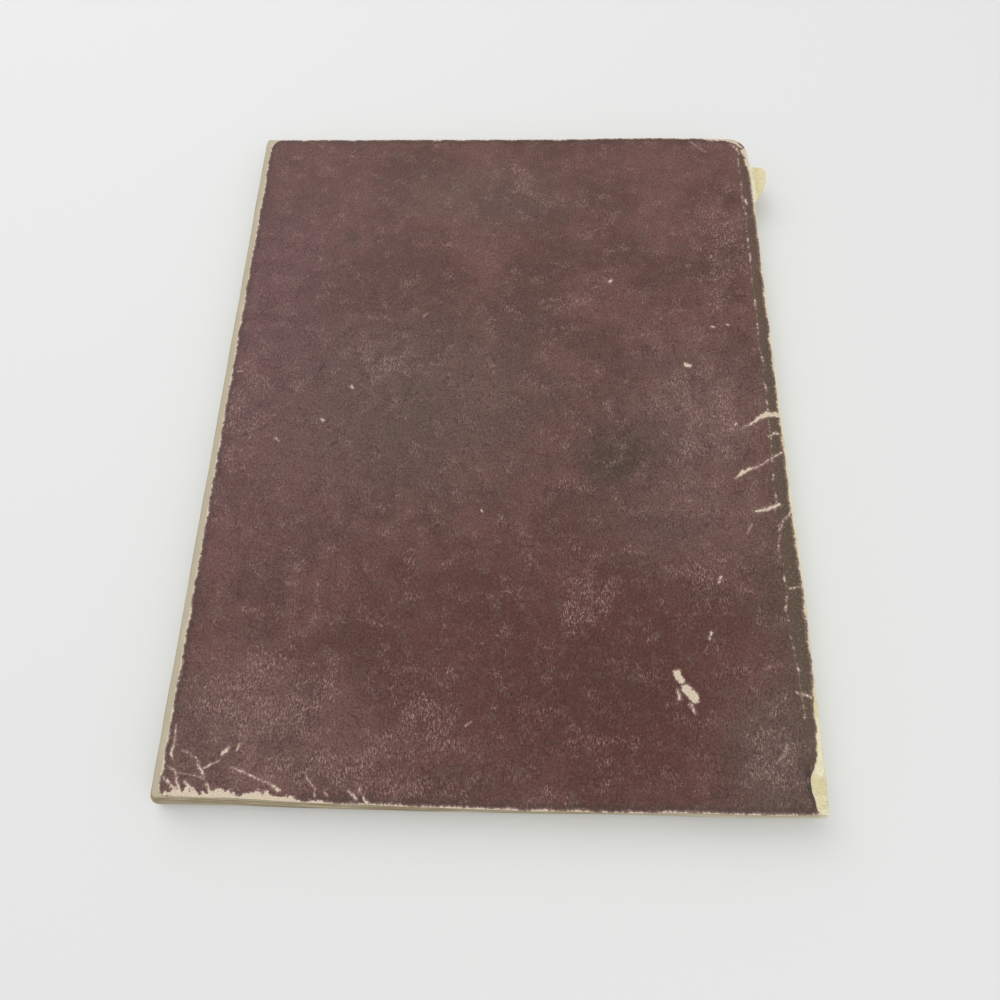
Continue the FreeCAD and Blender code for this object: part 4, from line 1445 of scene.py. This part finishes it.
@dataclass
class Leaves:
    """All the leaves as one closed stack, its layers a little out of line.

    Attributes:
        sections: how many sections the leaves are gathered in.
        layers: how many layers each section shows.
        fore_slip: how far the lowest section stands out at the fore-edge, in mm.
        tail_slip: how far its outer tail corner stands out, in mm.
        groove: how far the gap between two sections goes in, in mm.
        gap: how high that gap is, in mm.
        slack: how far a layer strays from its neighbours, in mm.
        fore_tail_corner: the radius of the corner of the fore-edge and the tail, in mm.
        fore_head_corner: the same at the head.
        spine_head_corner: the same at the spine and the head.
    """

    sections: int = 8
    layers: int = 6
    fore_slip: float = 3.1
    tail_slip: float = 2.2
    groove: float = 0.4
    gap: float = 0.07
    slack: float = 0.16
    fore_tail_corner: float = 1.8
    fore_head_corner: float = 1.0
    spine_head_corner: float = 7.3

    def __post_init__(self) -> None:
        """Reads the leaves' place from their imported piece."""
        low, high = node_box("page_block")
        self.bottom, self.top = low.z, high.z
        self.head = high.y
        self.tail = -high.y
        self.fore = -LEAF_HALF_WIDTH
        self.spine = high.x

    def outline(self, level: float, inset: float, seed: float) -> list[Point]:
        """Gives one layer's outline, counter-clockwise from the tail of the spine.

        Args:
            level: the layer's height, in mm.
            inset: how far it stays behind its neighbours.
            seed: tells the layers apart in the noise.

        Returns:
            As many points for each layer, in mm.
        """
        deep = (self.top - level) / (self.top - self.bottom)
        step = math.floor(deep * self.sections) / (self.sections - 1)
        depth = min(1.0, 0.65 * step + 0.35 * deep)
        share = 1.0 - (1.0 - depth) ** 2
        shift = self.slack * ripple(seed, 1.0, 0.0, 0.37)
        fore = self.fore - self.fore_slip * share + inset + abs(shift)
        tail_far = self.tail - self.tail_slip * share + inset + abs(shift)
        tail_near = self.tail + inset
        head = self.head - inset - 0.7 * abs(ripple(seed, 4.0, 0.0, 0.41))
        covered = level > self.top - LINING_WALL or level < self.bottom + LINING_WALL
        line_x = CREASE_X + 0.15 if covered else self.spine
        fore_tail, fore_head = self.fore_tail_corner, self.fore_head_corner
        spine_head = self.spine_head_corner + inset
        points = []

        def straight(start: Point, end: Point, count: int) -> None:
            for i in range(count):
                share_along = i / count
                points.append(
                    (
                        start[0] + (end[0] - start[0]) * share_along,
                        start[1] + (end[1] - start[1]) * share_along,
                    )
                )

        def corner(middle: Point, radius: float, start: float, count: int) -> None:
            for i in range(count):
                angle = math.radians(start + 90.0 * i / count)
                points.append(
                    (
                        middle[0] + radius * math.cos(angle),
                        middle[1] + radius * math.sin(angle),
                    )
                )

        top_of_line = self.head - 8.0
        straight((line_x, tail_near), (line_x, top_of_line), 44)
        corner((self.spine - spine_head, head - spine_head), spine_head, 0.0, 14)
        straight((self.spine - spine_head, head), (fore + fore_head, head), 80)
        corner((fore + fore_head, head - fore_head), fore_head, 90.0, 5)
        straight((fore, head - fore_head), (fore, tail_far + fore_tail), 100)
        corner((fore + fore_tail, tail_far + fore_tail), fore_tail, 180.0, 9)
        straight((fore + fore_tail, tail_far), (line_x, tail_near), 80)
        moved = []
        for x, y in points:
            loose = eased(CREASE_X - x, 0.0, 30.0)
            out = self.slack * loose * ripple(x + seed * 31.0, y, seed * 3.0, 17.0)
            if x < fore + 2.0:
                x -= out
            elif y > 0.0:
                y += min(0.0, out)
            else:
                y -= out
            x, end = bowed(x, y), abs(y) / self.head
            tail_out = 0.7 * tail_bow(x) + LEAVES_TAIL_GAIN.at(x)
            y += (head_bow(x) if y > 0.0 else -tail_out) * end**8
            moved.append((x, y))
        return moved

    def build(self, finishes: Finishes) -> bpy.types.Object:
        """Models the stack in code, because each layer has an outline of its own.

        Args:
            finishes: the book's materials.

        Returns:
            The leaves.
        """
        thickness = (self.top - self.bottom) / self.sections
        mesh = bmesh.new()
        rings = []

        for section in range(self.sections):
            low = self.bottom + section * thickness
            leaf = (thickness - self.gap) / self.layers
            for layer in range(self.layers):
                seed = section * self.layers + layer + 0.5
                start = low + layer * leaf
                middle = start + 0.5 * leaf
                for level in (start, start + leaf):
                    outline = self.outline(middle, 0.0, seed)
                    rings.append([mesh.verts.new((x * MM, y * MM, level * MM)) for x, y in outline])
            if section < self.sections - 1:
                seam = low + thickness - 0.5 * self.gap
                for level in (low + thickness - self.gap, low + thickness):
                    outline = self.outline(seam, self.groove, section + 0.25)
                    rings.append([mesh.verts.new((x * MM, y * MM, level * MM)) for x, y in outline])
        for vertex in rings[-1]:
            vertex.co.z = self.top * MM
        count = len(rings[0])
        for below, above in zip(rings, rings[1:]):
            for i in range(count):
                j = (i + 1) % count
                mesh.faces.new((below[i], below[j], above[j], above[i]))
        mesh.faces.new(rings[-1])
        mesh.faces.new(list(reversed(rings[0])))
        bmesh.ops.recalc_face_normals(mesh, faces=mesh.faces)
        data = bpy.data.meshes.new("leaves")
        mesh.to_mesh(data)
        mesh.free()
        piece = bpy.data.objects.new("leaves", data)
        bpy.context.collection.objects.link(piece)
        data.materials.append(finishes.leaf_edges)
        data.materials.append(finishes.leaf_face)
        for polygon in data.polygons:
            outermost = min(self.top - polygon.center.z / MM, polygon.center.z / MM - self.bottom)
            polygon.material_index = 1 if outermost < 0.001 else 0
        smooth(piece, 30.0)
        return piece


@dataclass
class GlueFilm:
    """The film of old glue over the backs of the leaves.

    Attributes:
        step: the mesh's step, in mm.
    """

    step: float = 1.4

    def build(self, finishes: Finishes) -> bpy.types.Object:
        """Models the film so that it follows the backs' bulge.

        Args:
            finishes: the book's materials.

        Returns:
            The film.
        """
        low, high = node_box("spine_glue")
        levels = stations(low.z, high.z, self.step, self.step, 0.0)
        along = stations(low.y, high.y, self.step, self.step, 0.0)
        middle = 0.5 * (low.x + high.x)

        def place(level: float, y: float) -> tuple[float, float, float]:
            return bowed(middle, y), y, level

        film = grid_sheet("glue_film", levels, along, place)
        film.data.materials.append(finishes.glue)
        thicken(film, high.x - low.x, 0.0)
        smooth(film, 40.0)
        return film


@dataclass
class SpineLining:
    """The paper channel over the backs of the leaves, with its torn hole and its flap.

    Attributes:
        wall: the paper's thickness, in mm.
        turn_in: how far it reaches over the leaves.
        fold: the radius of its two folds.
        flap_top: where the torn flap starts, towards the head.
        flap_length: its length along the spine.
        flap_reach: how far it stands out.
        flap_corner: the radius of its outer corner.
    """

    wall: float = LINING_WALL
    turn_in: float = 4.0
    fold: float = 0.6
    flap_top: float = 124.2
    flap_length: float = 21.5
    flap_reach: float = 7.7
    flap_corner: float = 3.0

    def __post_init__(self) -> None:
        """Reads the leaves' and the glue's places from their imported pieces."""
        block_low, block_high = node_box("page_block")
        self.bottom, self.top = block_low.z, block_high.z
        self.tail, self.head = node_box("spine_glue")[0].y, node_box("spine_glue")[1].y

    def reach(self, y: float) -> float:
        """How far the torn flap reaches at a place along the spine, in mm; 0 beyond it."""
        down = self.flap_top - y
        if not 0.0 < down < self.flap_length:
            return 0.0
        if down < self.flap_corner:
            inside = self.flap_corner - down
            return self.flap_reach - self.flap_corner + math.sqrt(self.flap_corner**2 - inside**2)
        run = self.flap_length - self.flap_corner
        radius = (self.flap_reach**2 + run**2) / (2.0 * self.flap_reach)
        return self.flap_reach - radius + math.sqrt(radius**2 - (down - self.flap_corner) ** 2)

    def profile(self, s: float) -> tuple[float, float, bool]:
        """Follows the paper round the backs of the leaves, from the front turn-in to the back one.

        Args:
            s: how far along the paper, in mm.

        Returns:
            The place across the book and the height, in mm, and whether it is on the spine.
        """
        half = 0.5 * self.wall
        face = SPINE_FACE_X - half
        flat = self.turn_in - half - self.fold
        quarter = 0.5 * math.pi * self.fold
        rise = self.top - self.bottom - self.wall - 2.0 * self.fold
        low, high = self.bottom + half, self.top - half
        if s < flat:
            return face - self.fold - flat + s, low, False
        s -= flat
        if s < quarter:
            angle = s / self.fold
            return (
                face - self.fold + self.fold * math.sin(angle),
                low + self.fold * (1.0 - math.cos(angle)),
                False,
            )
        s -= quarter
        if s < rise:
            return face, low + self.fold + s, True
        s -= rise
        if s < quarter:
            angle = s / self.fold
            return (
                face - self.fold + self.fold * math.cos(angle),
                high - self.fold * (1.0 - math.sin(angle)),
                False,
            )
        return face - self.fold - (s - quarter), high, False

    def build(self, finishes: Finishes) -> bpy.types.Object:
        """Models the channel with its hole, and the flap that stands away from it.

        Args:
            finishes: the book's materials.

        Returns:
            The lining.
        """
        half = 0.5 * self.wall
        flat = self.turn_in - half - self.fold
        quarter = 0.5 * math.pi * self.fold
        rise = self.top - self.bottom - self.wall - 2.0 * self.fold
        corners = (0.0, flat, flat + quarter, flat + quarter + rise, flat + rise + 2.0 * quarter)
        counts = (6, 4, 26, 4, 6)
        ends = (*corners[1:], 2.0 * flat + rise + 2.0 * quarter)
        across = [
            low + (high - low) * i / count
            for low, high, count in zip(corners, ends, counts)
            for i in range(count)
        ] + [ends[-1]]
        flap_foot = self.flap_top - self.flap_length
        along = stations(self.tail, flap_foot - 1.0, 0.7, 1.7, 0.1)
        along += stations(flap_foot - 1.0, self.flap_top + 1.0, 0.42, 0.42, 0.0)[1:]
        along += stations(self.flap_top + 1.0, self.head, 0.6, 0.8, 0.1)[1:]

        def place(s: float, y: float) -> tuple[float, float, float]:
            x, z, on_spine = self.profile(s)
            if y == along[0]:
                y += 0.35 * abs(ripple(s, 0.0, 0.0, 1.6))
            if y == along[-1]:
                y -= 1.3 * abs(ripple(s, 3.0, 0.0, 2.3))
            if on_spine:
                x += 0.10 * ripple(0.0, y, z * 2.0, 9.0)
            return bowed(x, y), y, z

        channel = grid_sheet("spine_paper", across, along, place)
        self._tear_hole(channel)
        flap = self._flap()
        bpy.ops.object.select_all(action="DESELECT")
        flap.select_set(True)
        channel.select_set(True)
        bpy.context.view_layer.objects.active = channel
        bpy.ops.object.join()
        channel.data.materials.append(finishes.lining)
        thicken(channel, self.wall, 0.0)
        smooth(channel, 40.0)
        return channel

    def _tear_hole(self, channel: bpy.types.Object) -> None:
        """Takes the torn piece's faces out of the spine."""
        only(channel)
        bpy.ops.object.mode_set(mode="EDIT")
        bpy.ops.mesh.select_mode(type="FACE")
        bpy.ops.mesh.select_all(action="DESELECT")
        bpy.ops.object.mode_set(mode="OBJECT")
        face = SPINE_FACE_X - 0.5 * self.wall
        for polygon in channel.data.polygons:
            x, y, z = (value / MM for value in polygon.center)
            down = self.top - self.wall - z
            torn = self.reach(y) + 0.35 * ripple(0.0, y, z, 0.9)
            polygon.select = self.reach(y) > 0.0 and x > face - 0.35 and 0.0 < down < torn
        bpy.ops.object.mode_set(mode="EDIT")
        bpy.ops.mesh.delete(type="FACE")
        bpy.ops.object.mode_set(mode="OBJECT")

    def _flap(self) -> bpy.types.Object:
        """Models the torn flap as one layer: it dips beside the spine and curls up at its edge."""
        rows = [self.flap_top - self.flap_length * i / 44.0 for i in range(45)]
        columns = [i / 16.0 for i in range(17)]
        high = self.top - 0.5 * self.wall

        def place(share: float, y: float) -> tuple[float, float, float]:
            reach = self.reach(min(self.flap_top - 0.05, max(rows[-1] + 0.05, y)))
            out = share * (reach + 0.3 * share * ripple(0.0, y, 0.0, 1.7))
            dip = -1.1 * eased(out, 0.0, 4.5) + 0.5 * eased(out, 4.0, self.flap_reach)
            wave = 0.25 * ripple(out, y, 9.0, 7.0) * eased(out, 0.5, 3.0)
            return SPINE_FACE_X - 0.4 + out * 1.04, y, high + dip + wave

        return grid_sheet("torn_flap", columns, rows, place)


@dataclass(frozen=True)
class Lamp:
    """A square soft light that faces the book.

    Attributes:
        name: its name.
        place: where it hangs, in metres.
        power: its power, in watts.
        size: its side, in metres.
    """

    name: str
    place: tuple[float, float, float]
    power: float
    size: float = 1.3

    def hang(self) -> None:
        """Puts the lamp in the scene."""
        bpy.ops.object.light_add(type="AREA", location=self.place)
        lamp = bpy.context.object
        lamp.name = lamp.data.name = self.name
        lamp.data.size = self.size
        lamp.data.energy = self.power
        lamp.rotation_euler = (-Vector(self.place)).to_track_quat("-Z", "Y").to_euler()


LAMPS = (Lamp("key", (-0.52, 0.66, 1.15), 8.2), Lamp("fill", (0.68, -0.72, 1.05), 4.6))


@dataclass
class Studio:
    """The table, the soft light and the camera.

    Attributes:
        camera_place: where the camera is, in mm.
        camera_forward: where it looks.
        camera_up: which way is up in its picture.
        focal_length: its lens on a sensor 36 mm wide, in mm.
        table_drop: how far the table lies below the resting book, in mm.
        table_side: how long and wide the table is, in metres.
        sky_strength: how bright the even light from all around is.
    """

    camera_place: tuple = (11.8, -134.7, 270.4)
    camera_forward: tuple = (-0.0331, 0.3594, -0.9326)
    camera_up: tuple = (-0.0141, 0.9329, 0.3600)
    focal_length: float = 27.04
    table_drop: float = 0.6
    table_side: float = 8.0
    sky_strength: float = 0.63

    def build(self) -> None:
        """Sets up the whole studio."""
        self._table()
        for lamp in LAMPS:
            lamp.hang()
        self._world()
        self._camera()
        bpy.context.scene.view_settings.view_transform = "Standard"

    def _table(self) -> None:
        """Lays the plain pale table under the book."""
        bpy.ops.object.select_all(action="DESELECT")
        place = (0.0, 0.0, -self.table_drop * MM)
        bpy.ops.mesh.primitive_plane_add(size=self.table_side, location=place)
        table = bpy.context.object
        table.name = "table"
        made = bpy.data.materials.new("pale_table")
        made.use_nodes = True
        shader = made.node_tree.nodes["Principled BSDF"]
        shader.inputs["Base Color"].default_value = (*COLOURS.table, 1.0)
        shader.inputs["Roughness"].default_value = 0.6
        shader.inputs["Specular IOR Level"].default_value = 0.25
        table.data.materials.append(made)

    def _world(self) -> None:
        """Fills the surroundings with even white light."""
        world = bpy.context.scene.world or bpy.data.worlds.new("studio")
        bpy.context.scene.world = world
        world.use_nodes = True
        sky = world.node_tree.nodes["Background"]
        sky.inputs["Color"].default_value = (1.0, 1.0, 1.0, 1.0)
        sky.inputs["Strength"].default_value = self.sky_strength

    def _camera(self) -> None:
        """Puts the camera where the photograph was taken from."""
        forward = Vector(self.camera_forward).normalized()
        right = forward.cross(Vector(self.camera_up)).normalized()
        up = right.cross(forward)
        turn = Matrix((right, up, -forward)).transposed()
        bpy.ops.object.camera_add(location=Vector(self.camera_place) * MM)
        camera = bpy.context.object
        camera.name = "photograph_view"
        camera.rotation_euler = turn.to_euler()
        camera.data.sensor_width = 36.0
        camera.data.lens = self.focal_length
        camera.data.clip_start = 0.01
        bpy.context.scene.camera = camera


@dataclass
class Book:
    """The whole book: its covers, leaves and lining, each on the body that carries it."""

    finishes: Finishes

    def build(self) -> None:
        """Builds every piece and sets it on its body."""
        for side in Side:
            corner = 6.0 if side is Side.BACK else 3.0
            leaf, strip = Cover(side, head_corner=corner).build(self.finishes)
            cover, hinge = f"{side.value}_cover", f"{side.value}_hinge_strip"
            self._set(leaf, cover, cover, "cover_card")
            self._set(strip, "block", hinge, "cover_card")
        self._set(Leaves().build(self.finishes), "block", "page_block", "pages")
        self._set(SpineLining().build(self.finishes), "block", "spine_lining", "lining_paper")
        self._set(GlueFilm().build(self.finishes), "block", "spine_glue", "glue")

    @staticmethod
    def _set(piece: bpy.types.Object, body: str, node: str, slot: str) -> None:
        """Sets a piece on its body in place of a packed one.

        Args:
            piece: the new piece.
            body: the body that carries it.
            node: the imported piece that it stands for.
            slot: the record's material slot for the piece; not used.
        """
        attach(piece, body)
        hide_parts(node)
        piece.data.calc_loop_triangles()
        LOG.info("%s: %d triangles on %s", piece.name, len(piece.data.loop_triangles), body)


def main() -> None:
    """Builds the dressed book and its studio."""
    logging.basicConfig(level=logging.INFO, format="%(message)s")
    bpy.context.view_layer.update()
    Book(Finishes(Effects())).build()
    Studio().build()


if __name__ == "__main__":
    main()
